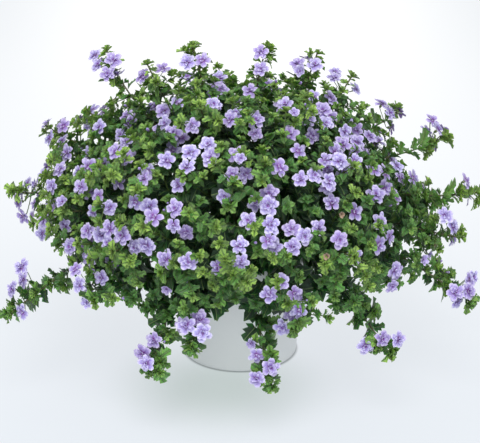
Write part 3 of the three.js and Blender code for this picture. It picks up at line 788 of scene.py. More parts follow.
def crown_twigs(stems, blooms):
    """Twigs to places that are spread evenly through the crown, each from the stem that leads there best."""
    samples = [(along_stem(stem, at), stem) for stem in stems for at in bearing_places(stem)]
    points = np.array([sample[0][0] for sample in samples])
    directions = np.array([sample[0][1] for sample in samples])
    tips = [stem.points[-1] for stem in stems]
    proud = np.array([stem.points[-1] for stem in stems if stem.parent is None])
    for shell in SHELLS:
        for place in mound_places(shell.places, CREST, shell.bottom, shell.depth, proud, shell.parting):
            if nearest(tips, place) < shell.apart or no_room(place, blooms, KEEP_OPEN.of_twigs):
                continue
            between = place - points
            distances = np.linalg.norm(between, axis=1)
            ahead = np.sum(between * directions, axis=1) / distances
            costs = distances - TWIG.straight * ahead + TOO_NEAR * (distances < TWIG.shortest)
            best = int(np.argmin(costs))
            if distances[best] > TWIG.longest:
                continue
            leafing = DEEP_LEAF if shell.deep else 1
            yield make_twig(samples[best][1], points[best], directions[best], place, shell.deep, leafing)
            tips.append(place)


def sprigs(stems, blooms):
    """Short twigs along what trails, or stands at the mound's surface."""
    for stem in stems:
        for at in np.arange(SPRIGS.first, min(stem.length - SPRIGS.from_root, SPRIGS.last), SPRIGS.step):
            point, direction, _, across = along_stem(stem, at)
            if draw() < TRAIL.bare * low_share(point):
                continue
            proud_here = point[2] < SPRIGS.below or depth_inside(point) < SPRIGS.depth
            if not proud_here or draw() > SPRIGS.share:
                continue
            side = rotated(across, direction, any_angle())
            reach = SPRIGS.reach * varied(0.7, 0.3) + SPRIGS.widening * min(at, SPRIGS.widest) * draw()
            end = point + reach * unit(side + 0.5 * direction + 0.5 * outward(point))
            if end[2] >= SPRIGS.lowest and not no_room(end, blooms, KEEP_OPEN.of_sprigs):
                yield make_twig(stem, point, direction, end, leafing=SPRIGS.leafing)


def leaf_length(from_tip, sizes):
    """Leaves grow from the rosette's size at the tip to full size further back."""
    share = min(from_tip / PAIRS.full, 1)
    return (sizes.young_leaf + (sizes.mature_leaf - sizes.young_leaf) * share**0.8) / MM


def low_share(place, zone=TRAIL):
    """How far down in the trailing part of the plant, or in another zone, a place is, from 0 to 1."""
    return held((zone.top - place[2]) / (zone.top - zone.bottom))


def leaf_pairs(stem, leafy, sizes):
    """Opposite leaves at each node of a shoot, every pair at a right angle to the last."""
    leaves = []
    at, turn = PAIRS.first * varied(0.8, 0.4), draw() * math.pi
    step = PAIRS.spacing
    while at < min(leafy, stem.length - 4):
        point, direction, radius, across = along_stem(stem, at)
        out = outward(point)
        rising = 1 - 0.8 * crest_share(point)
        low = low_share(point)
        for half in (0, math.pi):
            side = rotated(across, direction, turn + half + sway(0.5))
            length = leaf_length(at, sizes) * varied(0.82, 0.36) * stem.leafing * (1 + TRAIL.larger * low)
            rise = rising * (varied(0.25, 0.5) * direction + 0.3 * out)
            way = unit(side + rise + sway(0.15) * UP)
            face = rotated(squared(0.5 * direction + 0.85 * out + 0.35 * UP, way), way, sway(1.3))
            place = stand(point + side * radius * 0.6, way, face, length)
            leaves.append(SimpleNamespace(place=place, from_tip=at))
        turn += math.pi / 2
        at += step * varied(0.85, 0.3) * (1 + TRAIL.sparser * low)
        step *= PAIRS.widening
    return leaves


def rosette_leaves(stem, sizes):
    """Crossed pairs of young leaves round a tip, each pair shorter and steeper than the last."""
    point, direction, _, _ = along_stem(stem, 0)
    face = unit(0.8 * direction + 0.4 * outward(point))
    along = rotated(any_square(face), face, draw() * math.pi)
    if stem.rosette:
        size, face, along = stem.rosette.size, stem.rosette.place[:3, 2], stem.rosette.place[:3, 0]
    else:
        size = sizes.young_leaf / MM * varied(0.85, 0.3) * stem.leafing
    leaves = []
    for pair, (share, tilt) in enumerate(ROSETTE_PAIRS):
        for half in (0, 1):
            side = rotated(along, face, math.pi * (half + pair / 2) + sway(0.7))
            lift = tilt + sway(0.4)
            way = math.cos(lift) * side + math.sin(lift) * face
            length = size * share * varied(0.8, 0.35)
            upper = rotated(squared(face, way), way, sway(1))
            place = stand(point - face * (1.6 - pair * 0.7), way, upper, length)
            leaves.append(SimpleNamespace(place=place, from_tip=0))
    return leaves


def spread_order(count, ahead=None):
    """Numbers from 0 up in an order that jumps about evenly, where some can come a little ahead."""
    return sorted(range(count), key=lambda i: (i * GOLDEN_SHARE) % 1 - (ahead[i] if ahead else 0))


def companion_bloom(host, centres):
    """A bloom beside another one, or nothing if no place for it is clear."""
    for _ in range(COMPANION.tries):
        size = BLOOM.radius * varied(0.78, 0.26)
        facing = host.place[:3, 2]
        side = rotated(host.place[:3, 0], facing, any_angle())
        reach = COMPANION.apart * varied(0.95, 0.3)
        centre = host.place[:3, 3] + reach * side - COMPANION.back * draw() * facing
        outside = not COMPANION.lowest < centre[2] < COMPANION.highest
        crowded = nearest(centres, centre) < COMPANION.clear
        if outside or crowded or meets_pot(centre[None], np.array([size])):
            continue
        facing = unit(facing + COMPANION.turning * side + COMPANION.sunward * SUNWARD)
        place = facing_place(centre, facing, draw() * SPIN)
        return SimpleNamespace(kind="bloom", size=size, place=place, root=host.root)
    return None


def add_companions(sprays, count):
    """Blooms that open beside others, from the same joints, so that they stand in clusters."""
    hosts = [(bloom, spray) for spray in sprays for bloom in spray.blooms]
    centres = centres_of(blooms_of(sprays))
    ahead = [COMPANION.proud_first * (depth_inside(centre) < 0) for centre in centres]
    for host, spray in (hosts[i] for i in spread_order(len(hosts), ahead)):
        bloom = companion_bloom(host, centres) if count else None
        if bloom:
            spray.blooms.append(bloom)
            centres.append(bloom.place[:3, 3])
            count -= 1


def surface_twigs(twigs):
    """The twigs at the surface of the crown, in an order that jumps about evenly."""
    return [twigs[i] for i in spread_order(len(twigs)) if not twigs[i].deep]


def spot_on_twig(twig, centres, apart):
    """A place for a bloom beside a twig's last nodes, or nothing where it would crowd another."""
    point, direction, _, across = along_stem(twig, varied(*TWIG_BLOOM.start))
    side = rotated(across, direction, any_angle())
    way = unit(0.7 * side + 0.8 * outward(point) + 0.2 * direction)
    centre = point + varied(*TWIG_BLOOM.stalk) * way
    size = BLOOM.radius * varied(*TWIG_BLOOM.size)
    if nearest(centres, centre) < apart or centre[2] < TWIG_BLOOM.lowest:
        return None
    return SimpleNamespace(root=point, way=way, centre=centre, size=size)


def twig_bloom(kind, twig, spot, facing, larger=1.0):
    """A bloom or a bud at a spot beside a twig."""
    place = facing_place(spot.centre, facing, draw() * SPIN)
    return SimpleNamespace(kind=kind, size=spot.size * larger, place=place, root=spot.root, twig=twig)


def twig_blooms(twigs, blooms, sizes):
    """More blooms, half-open ones, withered ones and buds, on the twigs' last nodes."""
    made = []
    centres = centres_of(blooms)
    for twig in surface_twigs(twigs):
        if len(made) == sizes.twig_blooms + sizes.buds:
            break
        bud = len(made) >= sizes.twig_blooms
        spot = spot_on_twig(twig, centres, TWIG_BLOOM.bud_apart if bud else TWIG_BLOOM.apart)
        if spot is None:
            continue
        kind = "bud" if bud else "spent" if draw() < sizes.spent_share else "bloom"
        made.append(twig_bloom(kind, twig, spot, bloom_facing(spot.centre, spot.way)))
        centres.append(spot.centre)
    return made


def far_blooms(twigs, blooms, count):
    """Blooms on the twigs of the far side, which face away from the sunny side."""
    made = []
    centres = centres_of(blooms)
    for twig in surface_twigs(twigs):
        if len(made) == count:
            break
        if outward(twig.points[-1])[1] < FAR_SIDE.facing:
            continue
        spot = spot_on_twig(twig, centres, FAR_SIDE.apart)
        if spot is None or depth_inside(spot.centre) > FAR_SIDE.depth:
            continue
        facing = unit(outward(spot.centre) + 0.35 * spot.way + 0.2 * UP)
        made.append(twig_bloom("bloom", twig, spot, facing, FAR_SIDE.larger))
        centres.append(spot.centre)
    return made


def sorted_by_spray(stems):
    """The stems and what stands on them, in a group for each spray."""
    sprays = [SimpleNamespace(shoots=[], leaves=[], large=[], blooms=[]) for _ in STEM_TIPS]
    for stem in stems:
        spray = sprays[spray_of(stem)]
        spray.shoots.append(stem)
        for piece in (piece for joint in stem.joints for piece in joint.grown if piece):
            if piece.kind == "bloom":
                spray.blooms.append(piece)
            elif piece.kind == "leaf":
                spray.large.append(piece)
    return sprays


def put_out_leaves(spray, sizes):
    """Leaves along every shoot of a spray, and a rosette at the tips that show."""
    for shoot in spray.shoots:
        leafy = TWIG.leafy if shoot.base == TWIG.base else PAIRS.side if shoot.parent else PAIRS.rooted
        leaves = leaf_pairs(shoot, leafy, sizes)
        leaves += [] if shoot.deep else rosette_leaves(shoot, sizes)
        for leaf in leaves:
            leaf.deep = shoot.deep or depth_inside(leaf.place[:3, 3]) > TOOTHLESS
        spray.leaves += leaves


def clear_openings(spray, blooms):
    """Takes away the leaves that would stand before an open bloom, or lie on the ground."""
    middles = np.array([leaf.place[:3, 3] + 0.6 * leaf.place[:3, 0] for leaf in spray.leaves])
    kept = (middles[:, 2] > PAIRS.lowest) & ~opening_blocked(middles, blooms, KEEP_OPEN.of_leaves)
    spray.leaves = [leaf for leaf, keep in zip(spray.leaves, kept) if keep]


@functools.cache
def planned_plant():
    """Everything that the foliage and the blooms are made from, sorted by spray."""
    sizes = bpy.context.scene.bacopa_sizes
    stems = grow_stems()
    sprays = sorted_by_spray(stems)
    add_companions(sprays, sizes.companions)
    blooms = blooms_of(sprays)
    twigs = [*crown_twigs(stems, blooms), *sprigs(stems, blooms)]
    for twig in twigs:
        sprays[spray_of(twig)].shoots.append(twig)
    for bloom in twig_blooms(twigs, blooms, sizes):
        sprays[spray_of(bloom.twig)].blooms.append(bloom)
    for spray in sprays:
        put_out_leaves(spray, sizes)
    for bloom in far_blooms(twigs, blooms_of(sprays), sizes.far_blooms):
        sprays[spray_of(bloom.twig)].blooms.append(bloom)
    shown = [bloom for bloom in blooms_of(sprays) if bloom.kind == "bloom"]
    for spray in sprays:
        clear_openings(spray, shown)
    return sprays


# Shapes in their own frames, which are copied to many places


def shape(points, faces, spots):
    """Points, faces by their number of sides, and what the finish reads at each point."""
    return SimpleNamespace(points=np.asarray(points, float), faces=faces, spots=np.asarray(spots, float))


def merged(shapes):
    """Several shapes as one."""
    faces = {}
    start = 0
    for one in shapes:
        for sides, group in one.faces.items():
            faces.setdefault(sides, []).append(group + start)
        start += len(one.points)
    faces = {sides: np.vstack(groups) for sides, groups in faces.items()}
    return shape(np.vstack([one.points for one in shapes]), faces, np.vstack([one.spots for one in shapes]))


def blade(rows, thickness, bend):
    """A thin closed blade. Its rows give the points across as pairs of along and across."""
    rows = np.asarray(rows, float)
    count, columns = rows.shape[:2]
    inner = np.zeros((count, columns), bool)
    inner[1:-1, 1:-1] = True
    top = np.concatenate([rows, (inner * thickness / 2)[..., None]], axis=2).reshape(-1, 3)
    bottom = top[inner.ravel()] * [1, 1, -1]
    upper = np.arange(count * columns).reshape(count, columns)
    lower = upper.copy()
    lower[inner] = count * columns + np.arange(len(bottom))
    quads = [np.stack([grid[:-1, :-1], grid[1:, :-1], grid[1:, 1:], grid[:-1, 1:]], axis=-1).reshape(-1, 4)
             for grid in (upper, lower)]
    flat = np.vstack([top, bottom])
    under = np.concatenate([np.zeros(len(top)), np.ones(len(bottom))])
    spots = np.stack([flat[:, 0], flat[:, 1], under], axis=1)
    return shape(bend(flat), {4: np.vstack([quads[0], quads[1][:, ::-1]])}, spots)


# Outlines of leaves: the distances of an edge point, its half width, and the distance of its rib point.
LEAF_ROWS = [
    (0.00, 0.018, 0.00), (0.16, 0.025, 0.16), (0.10, 0.260, 0.25), (0.35, 0.490, 0.33), (0.40, 0.280, 0.43),
    (0.65, 0.460, 0.57), (0.66, 0.220, 0.67), (0.91, 0.300, 0.80), (1.00, 0.030, 1.00),
]
YOUNG_ROWS = [
    (0.00, 0.03, 0.00), (0.12, 0.28, 0.22), (0.40, 0.48, 0.34), (0.45, 0.24, 0.48), (0.76, 0.42, 0.62),
    (0.90, 0.17, 0.84), (1.00, 0.03, 1.00),
]
PLAIN_ROWS = [(0.00, 0.03, 0.00), (0.22, 0.34, 0.26), (0.58, 0.38, 0.55), (1.00, 0.02, 1.00)]
# Outlines of petals: the distance from the claw, and the share of the width there.
LOBE_STATIONS = [(0.0, 0.22), (0.34, 0.62), (0.66, 1.0), (0.88, 0.86), (1.0, 0.36)]
INNER_STATIONS = [(0.0, 0.25), (0.45, 0.8), (0.8, 1.0), (1.0, 0.4)]
# The whorls of a double bloom. A petal's length, width, curve and tilt are drawn between two values.
WHORLS = [
    SimpleNamespace(
        petals=BLOOM.lobes, inner=False, gaps=False, start=0, stray=0.09, rise=0.0, columns=5,
        stations=LOBE_STATIONS, length=(0.9, 1.06), width=(0.33, 0.41), curve=(-0.24, 0.12),
        tilt=(0.04, 0.26), closing=1),
    SimpleNamespace(
        petals=5, inner=True, gaps=True, start=0.5, stray=0.22, rise=0.03, columns=3,
        stations=INNER_STATIONS, length=(0.6, 0.84), width=(0.2, 0.3), curve=(-0.35, 0.05),
        tilt=(0.32, 0.62), closing=0.7),
    SimpleNamespace(
        petals=6, inner=True, gaps=False, start=0, stray=0.25, rise=0.05, columns=3,
        stations=INNER_STATIONS, length=(0.36, 0.54), width=(0.13, 0.2), curve=(-0.3, 0.2),
        tilt=(0.75, 1.2), closing=0),
]


def leaf_shape(rows, thickness, fold, droop, ripple, phase, fine=False):
    """A leaf with its rib in the middle, blunt teeth, a fold along the rib and a drooping tip."""
    grid = []
    for edge, width, rib in rows:
        row = [(edge, -width), (rib, 0), (edge, width)]
        if fine:
            middle = 0.45 * edge + 0.55 * rib
            row = [row[0], (middle, -width / 2), row[1], (middle, width / 2), row[2]]
        grid.append(row)

    def bend(points):
        x, y, z = points.T
        wave = ripple * np.abs(y) * np.sin(9 * x + phase + 2 * np.sign(y))
        lifted = z + fold * np.abs(y)**1.2 - droop * x**2 + wave + 0.05 * np.sin(3 * x)
        return np.stack([x * (1 - 0.12 * droop * x), y * (1 - 0.3 * fold), lifted], axis=1)

    return blade(grid, thickness, bend)


def leaf_shapes(rng, count, rows, thickness, folds, droops, rippled=True):
    """Leaves of one kind, each with its own fold, droop and ripple."""
    made = []
    for _ in range(count):
        fold, droop = rng.uniform(*folds), rng.uniform(*droops)
        ripple, phase = (rng.uniform(0.05, 0.2), rng.uniform(0, 6)) if rippled else (0, 0)
        made.append(leaf_shape(rows, thickness, fold, droop, ripple, phase))
    return made


def petal_shape(rng, whorl, closed, thickness):
    """A petal that leaves the throat along +X: a narrow claw and a broad, slightly notched lobe."""
    length, width, curve = (rng.uniform(*span) for span in (whorl.length, whorl.width, whorl.curve))
    tilt = rng.uniform(*whorl.tilt) + closed * whorl.closing
    notch = 0.07 * rng.uniform(0.2, 1)
    phase, ripple = rng.uniform(0, 6), rng.uniform(0.03, 0.09)
    across = np.linspace(-1, 1, whorl.columns)
    rows = [[(u - (notch * (1 - abs(v)) if u == 1 else 0.1 * v * v * u), v * share) for v in across]
            for u, share in whorl.stations]

    def bend(points):
        u, v, z = points.T
        x = 0.06 + length * u
        lift = z + curve * u**2 + ripple * np.sin(5 * v + phase) * u - 0.06 * (1 - v * v) * u
        slope_x = x * math.cos(tilt) - lift * math.sin(tilt)
        slope_z = x * math.sin(tilt) + lift * math.cos(tilt)
        return np.stack([slope_x, v * width, slope_z], axis=1)

    return blade(rows, thickness, bend)


def turned_shape(one, angle, rise=0.0):
    """A shape turned about the upright axis, and raised."""
    cos, sin = math.cos(angle), math.sin(angle)
    spin = np.array([[cos, sin, 0], [-sin, cos, 0], [0, 0, 1]])
    return shape(one.points @ spin + [0, 0, rise], one.faces, one.spots)


def bloom_shape(rng, thickness, full=1.0, closed=0.0):
    """A double bloom one long in radius: outer lobes, an inner whorl and the small petals at its heart."""
    petals = []
    for whorl in WHORLS:
        count = int(round(whorl.petals * (full if whorl.inner else 1)))
        around = whorl.petals if whorl.gaps else count
        for lobe in range(count):
            angle = 2 * math.pi * (lobe + whorl.start) / around + rng.normal(0, whorl.stray)
            petals.append(turned_shape(petal_shape(rng, whorl, closed, thickness), angle, whorl.rise))
    return merged(petals)


def ring_grid(count, sides):
    """The numbers of the points in rings, and the faces between neighbouring rings."""
    grid = np.arange(count * sides).reshape(count, sides)
    near, far = grid[:-1], grid[1:]
    return grid, np.stack([near, np.roll(near, -1, 1), np.roll(far, -1, 1), far], axis=-1).reshape(-1, 4)


def tube(points, radii, sides, tips=(0.0, 1.0), kind=0.0):
    """A round tube along points, closed at both ends. Its spots run from one tip value to the other."""
    points = np.asarray(points, float)
    ways = unit(np.gradient(points, axis=0))
    across = any_square(ways[0])
    rings = []
    angles = 2 * math.pi * np.arange(sides) / sides
    for point, way, radius in zip(points, ways, radii):
        across = squared(across, way)
        other = np.cross(way, across)
        rings.append(point + radius * (np.outer(np.cos(angles), across) + np.outer(np.sin(angles), other)))
    count = len(points)
    grid, quads = ring_grid(count, sides)
    fan = np.array([[0, i, i + 1] for i in range(1, sides - 1)])
    caps = np.vstack([grid[0][fan[:, ::-1]], grid[-1][fan]])
    shares = np.repeat(np.linspace(*tips, count), sides)
    around = np.tile(np.arange(sides) / sides, count)
    spots = np.stack([shares, around, np.full(count * sides, kind)], axis=1)
    return shape(np.vstack(rings), {4: quads, 3: caps}, spots)


def calyx_shape(thickness):
    """Five narrow sepals that hold the tube."""
    rows = [[(u, -v), (u, 0.0), (u, v)] for u, v in ((0.0, 0.05), (0.55, 0.07), (1.0, 0.01))]

    def bend(points):
        x, y, z = points.T
        return np.stack([0.1 + 0.12 * x**2 + z, y, -0.5 + 0.36 * x], axis=1)

    sepal = blade(rows, thickness, bend)
    return merged([turned_shape(sepal, 2 * math.pi * i / 5 + 0.6) for i in range(5)])


def tube_shape():
    """The bloom's tube, which widens into the throat."""
    heights = np.array([-0.48, -0.3, -0.1, 0.04])
    return tube(np.outer(heights, UP), [0.08, 0.11, 0.12, 0.17], 6, kind=2.0)


def bud_shape():
    """A closed bud: an egg of folded petals on its short tube."""
    heights = np.array([-0.45, -0.3, -0.1, 0.12, 0.32, 0.44])
    return tube(np.outer(heights, UP), [0.08, 0.1, 0.16, 0.2, 0.14, 0.03], 7, (0.1, 0.6))


def lathe(profile, sides):
    """A closed solid turned about the upright axis from pairs of radius and height. Both ends lie on it."""
    inner = profile[1:-1]
    angles = 2 * math.pi * np.arange(sides) / sides
    cos, sin, level = np.cos(angles), np.sin(angles), np.ones(sides)
    rings = [np.stack([cos * radius, sin * radius, level * height], axis=1) for radius, height in inner]
    points = np.vstack([*rings, [[0, 0, profile[0][1]]], [[0, 0, profile[-1][1]]]])
    grid, quads = ring_grid(len(inner), sides)
    start = np.stack([np.roll(grid[0], -1), grid[0], np.full(sides, len(points) - 2)], axis=1)
    end = np.stack([grid[-1], np.roll(grid[-1], -1), np.full(sides, len(points) - 1)], axis=1)
    return shape(points, {4: quads, 3: np.vstack([start, end])}, np.zeros((len(points), 3)))


def arc(centre, radius, start, end, steps=5):
    """Points of a rounded edge, from one angle to another, in degrees."""
    angles = np.radians(np.linspace(start, end, steps))
    return [(centre[0] + radius * math.cos(angle), centre[1] + radius * math.sin(angle)) for angle in angles]


# Meshes


def show(name, data):
    """A new object in the scene, for a mesh, a lamp or a camera."""
    made = bpy.data.objects.new(name, data)
    bpy.context.scene.collection.objects.link(made)
    return made


class Bundle:
    """Collects copies of shapes, and makes one mesh of them."""

    def __init__(self):
        self.points, self.spots, self.tones = [], [], []
        self.faces = {3: [], 4: []}
        self.finishes = {3: [], 4: []}
        self.count = 0

    def add(self, one, tone, place=np.eye(4), finish=0):
        """A copy of a shape at a place, with its own tone."""
        self.points.append(np.einsum("ij,nj->ni", place[:3, :3], one.points) + place[:3, 3])
        self.spots.append(one.spots)
        self.tones.append(np.tile(tone, (len(one.points), 1)))
        for sides, faces in one.faces.items():
            self.faces[sides].append(faces + self.count)
            self.finishes[sides].append(np.full(len(faces), finish))
        self.count += len(one.points)

    def build(self, name, materials, crease=100):
        """The mesh in metres, smooth except at edges that turn by more than the crease, in degrees."""
        mesh = bpy.data.meshes.new(name)
        points = np.vstack(self.points) * MM
        mesh.vertices.add(len(points))
        mesh.vertices.foreach_set("co", points.ravel())
        groups = [(sides, np.vstack(self.faces[sides]), np.concatenate(self.finishes[sides]))
                  for sides in (3, 4) if self.faces[sides]]
        corners = np.concatenate([faces.ravel() for _, faces, _ in groups])
        totals = np.concatenate([np.full(len(faces), sides) for sides, faces, _ in groups])
        mesh.loops.add(len(corners))
        mesh.loops.foreach_set("vertex_index", corners)
        mesh.polygons.add(len(totals))
        mesh.polygons.foreach_set("loop_start", np.concatenate([[0], np.cumsum(totals)[:-1]]))
        mesh.polygons.foreach_set("material_index", np.concatenate([finish for _, _, finish in groups]))
        mesh.polygons.foreach_set("use_smooth", np.ones(len(totals), bool))
        for label, rows in (("spot", self.spots), ("tone", self.tones)):
            attribute = mesh.attributes.new(label, "FLOAT_VECTOR", "POINT")
            attribute.data.foreach_set("vector", np.vstack(rows).ravel())
        mesh.update(calc_edges=True)
        mesh.set_sharp_from_angle(angle=math.radians(crease))
        for material in materials:
            mesh.materials.append(material)
        return show(name, mesh)


def seat(piece, slot, *nodes):
    """The piece rides with the plant and stands for its nodes, which are hidden; the slot is not used."""
    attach(piece, "root")
    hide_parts(*nodes)


def node_name(number):
    return f"spray_{number + 1:02d}"


# Shader nodes


def add_node(tree, kind, settings=None, **sockets):
    """A shader node with its settings, and its sockets by name, either joined or set."""
    made = tree.nodes.new(kind)
    for name, value in (settings or {}).items():
        setattr(made, name, value)
    for name, value in sockets.items():
        join(tree, value, made.inputs[name.replace("_", " ")])
    return made


def join(tree, value, socket):
    """Joins an output to a socket, or sets a plain value on it."""
    if isinstance(value, bpy.types.NodeSocket):
        tree.links.new(value, socket)
    else:
        socket.default_value = value


def maths(tree, operation, first, second=0.0, third=0.0):
    made = add_node(tree, "ShaderNodeMath", {"operation": operation})
    for value, socket in zip((first, second, third), made.inputs):
        join(tree, value, socket)
    return made.outputs[0]


def vector_maths(tree, operation, first, second=(0, 0, 0)):
    made = add_node(tree, "ShaderNodeVectorMath", {"operation": operation})
    join(tree, first, made.inputs[0])
    join(tree, second, made.inputs[1])
    return made.outputs


def times(tree, first, second):
    return maths(tree, "MULTIPLY", first, second)


def times_plus(tree, first, second, third):
    """A value times another one, plus a third."""
    return maths(tree, "MULTIPLY_ADD", first, second, third)


def blend_colours(tree, share, first, second):
    """A mix of two colours, of which some can be joined and others set."""
    made = add_node(tree, "ShaderNodeMix", {"data_type": "RGBA"})
    join(tree, share, made.inputs[0])
    for value, index in ((first, 6), (second, 7)):
        join(tree, value if isinstance(value, bpy.types.NodeSocket) else (*value, 1), made.inputs[index])
    return made.outputs[2]


def fade(tree, value, low, high):
    """A smooth step from 0 at the low value to 1 at the high one."""
    made = add_node(tree, "ShaderNodeMapRange", {"interpolation_type": "SMOOTHSTEP"},
                    Value=value, From_Min=low, From_Max=high)
    return made.outputs["Result"]


def fade_out(tree, value, low, high):
    """A smooth step from 1 at the low value to 0 at the high one."""
    return maths(tree, "SUBTRACT", 1.0, fade(tree, value, low, high))


def parts_of(tree, label):
    """The three numbers that the mesh holds under a label."""
    read = add_node(tree, "ShaderNodeAttribute", {"attribute_name": label})
    return add_node(tree, "ShaderNodeSeparateXYZ", Vector=read.outputs["Vector"]).outputs


@functools.cache
def mottle_group():
    """Soft patches and fine grain over a surface, used by every finish."""
    group = bpy.data.node_groups.new("Mottle", "ShaderNodeTree")
    for name, default in (("Patch Scale", 60.0), ("Grain Scale", 900.0), ("Shift", 0.0)):
        socket = group.interface.new_socket(name, in_out="INPUT", socket_type="NodeSocketFloat")
        socket.default_value = default
    for name in ("Patches", "Grain"):
        group.interface.new_socket(name, in_out="OUTPUT", socket_type="NodeSocketFloat")
    entry = group.nodes.new("NodeGroupInput")
    result = group.nodes.new("NodeGroupOutput")
    place = add_node(group, "ShaderNodeTexCoord").outputs["Object"]
    moved = vector_maths(group, "ADD", place, entry.outputs["Shift"])["Vector"]
    for scale, name, detail in (("Patch Scale", "Patches", 2.0), ("Grain Scale", "Grain", 5.0)):
        size = entry.outputs[scale]
        noise = add_node(group, "ShaderNodeTexNoise", Vector=moved, Scale=size, Detail=detail)
        group.links.new(noise.outputs["Fac"], result.inputs[name])
    return group


def mottle(tree, patch_scale, grain_scale, shift=0.0):
    """The patches and the grain of the shared group, at scales of their own."""
    made = add_node(tree, "ShaderNodeGroup", {"node_tree": mottle_group()},
                    Patch_Scale=patch_scale, Grain_Scale=grain_scale, Shift=shift)
    return made.outputs["Patches"], made.outputs["Grain"]


def new_finish(name):
    """A new material, its nodes, and the shader that its surface takes."""
    material = bpy.data.materials.new(name)
    material.use_nodes = True
    tree = material.node_tree
    return material, tree, tree.nodes["Principled BSDF"]


def set_shader(tree, shader, **sockets):
    """Joins or sets the sockets of a shader by name."""
    for name, value in sockets.items():
        join(tree, value, shader.inputs[name.replace("_", " ")])


def raised(tree, height, strength, distance):
    """The way that a bumpy surface faces."""
    bump = add_node(tree, "ShaderNodeBump", Height=height, Strength=strength, Distance=distance)
    return bump.outputs["Normal"]


@functools.cache
def leaf_finish():
    """Leaves from lime at the tips to dark green inside, partly painted shade, with painted shade at the
    stalk end and in the impressed rib and side veins, a pale rib and a paler back.
    """
    colours = bpy.context.scene.bacopa_colours
    material, tree, shader = new_finish("bacopa_leaf")
    along, across, under = parts_of(tree, "spot")
    youth, lot, _ = parts_of(tree, "tone")
    patches, grain = mottle(tree, patch_scale=90.0, grain_scale=1400.0, shift=lot)
    # The tone's youth holds a leaf's age together with painted shade deep and low in the crown.
    aged = blend_colours(tree, fade(tree, youth, 0.0, 0.5), colours.old_and_shaded_leaf, colours.grown_leaf)
    green = blend_colours(tree, fade(tree, youth, 0.45, 1.0), aged, colours.young_leaf)
    dim = fade(tree, times_plus(tree, patches, 0.5, lot), 0.35, 1.45)
    # Painted shade towards each leaf's stalk end, taken together with the leaf's own random dimming.
    painted_base_shade = fade_out(tree, along, 0.05, 0.6)
    darker = maths(tree, "MAXIMUM", times(tree, dim, 0.75), times(tree, painted_base_shade, 0.7))
    shade = blend_colours(tree, darker, green, colours.old_and_shaded_leaf)
    off_rib = maths(tree, "ABSOLUTE", across)
    rib = fade_out(tree, off_rib, 0.008, 0.03)
    # Painted shade in the impressed rib furrow and side veins, which also press into the bump.
    furrow = fade_out(tree, off_rib, 0.02, 0.12)
    wave = maths(tree, "PINGPONG", times_plus(tree, off_rib, -0.75, along), 0.085)
    side_veins = fade_out(tree, wave, 0.004, 0.02)
    veins = maths(tree, "MAXIMUM", furrow, times(tree, side_veins, 0.6))
    vein_shaded = blend_colours(tree, times(tree, veins, 0.8), shade, colours.old_and_shaded_leaf)
    veined = blend_colours(tree, times(tree, rib, 0.4), vein_shaded, colours.leaf_vein)
    set_shader(
        tree, shader,
        Base_Color=blend_colours(tree, times(tree, under, 0.3), veined, colours.leaf_vein),
        Roughness=times_plus(tree, grain, 0.25, 0.28),
        Specular_IOR_Level=0.5,
        Subsurface_Weight=0.3,
        Subsurface_Radius=(0.5, 1.0, 0.15),
        Subsurface_Scale=0.0015,
        Normal=raised(tree, times_plus(tree, veins, -0.7, grain), strength=0.8, distance=0.0009))
    return material


@functools.cache
def stem_finish():
    """Soft green shoots that turn brown and ridged towards the root."""
    colours = bpy.context.scene.bacopa_colours
    material, tree, shader = new_finish("bacopa_stem")
    _, around, _ = parts_of(tree, "spot")
    youth, lot, _ = parts_of(tree, "tone")
    patches, grain = mottle(tree, patch_scale=160.0, grain_scale=1500.0, shift=lot)
    wooded = blend_colours(tree, fade(tree, youth, 0.1, 0.8), colours.old_stem, colours.young_stem)
    ridges = maths(tree, "PINGPONG", around, 0.125)
    set_shader(
        tree, shader,
        Base_Color=blend_colours(tree, times(tree, patches, 0.4), wooded, colours.old_and_shaded_leaf),
        Roughness=times_plus(tree, grain, 0.3, 0.4),
        Normal=raised(tree, times_plus(tree, ridges, 3.0, grain), strength=0.4, distance=0.0003))
    return material


@functools.cache
def petal_finish():
    """Lilac petals with a pale margin and violet lines, on green-yellow tubes, and tan when spent."""
    colours = bpy.context.scene.bacopa_colours
    material, tree, shader = new_finish("bacopa_petal")
    along, across, kind = parts_of(tree, "spot")
    blue, lot, spent = parts_of(tree, "tone")
    patches, grain = mottle(tree, patch_scale=260.0, grain_scale=2400.0, shift=lot)
    off_middle = maths(tree, "ABSOLUTE", across)
    edge = maths(tree, "MAXIMUM", fade(tree, along, 0.55, 1.0), fade(tree, off_middle, 0.5, 1.0))
    margin = blend_colours(tree, times(tree, edge, 0.85), colours.petal, colours.petal_edge)
    soft = blend_colours(tree, times(tree, blue, 0.25), margin, colours.throat)
    stripes = maths(tree, "PINGPONG", times_plus(tree, patches, 0.12, across), 0.16)
    lines = fade_out(tree, stripes, 0.01, 0.08)
    near = fade_out(tree, along, 0.2, 0.85)
    deep = fade_out(tree, along, 0.1, 0.5)
    drawn = times(tree, times(tree, lines, near), 0.8)
    violet = maths(tree, "MAXIMUM", drawn, times(tree, deep, 0.85))
    coloured = blend_colours(tree, violet, soft, colours.throat)
    is_tube = fade(tree, kind, 1.4, 1.6)
    is_back = maths(tree, "SUBTRACT", fade(tree, kind, 0.2, 0.9), is_tube)
    backed = blend_colours(tree, times(tree, is_back, 0.28), coloured, colours.throat)
    foot = times(tree, is_tube, fade_out(tree, along, 0.3, 1.0))
    with_tube = blend_colours(tree, foot, backed, colours.tube)
    set_shader(
        tree, shader,
        Base_Color=blend_colours(tree, times(tree, spent, 0.9), with_tube, colours.spent),
        Roughness=times_plus(tree, grain, 0.2, 0.48),
        Specular_IOR_Level=0.25,
        Sheen_Weight=0.15,
        Subsurface_Weight=0.2,
        Subsurface_Radius=(0.6, 0.4, 0.8),
        Subsurface_Scale=0.002,
        Normal=raised(tree, times_plus(tree, lines, -0.5, grain), strength=0.35, distance=0.0003))
    return material


def dimmed(colour, share):
    """A colour at a share of its brightness."""
    return [value * share for value in colour]


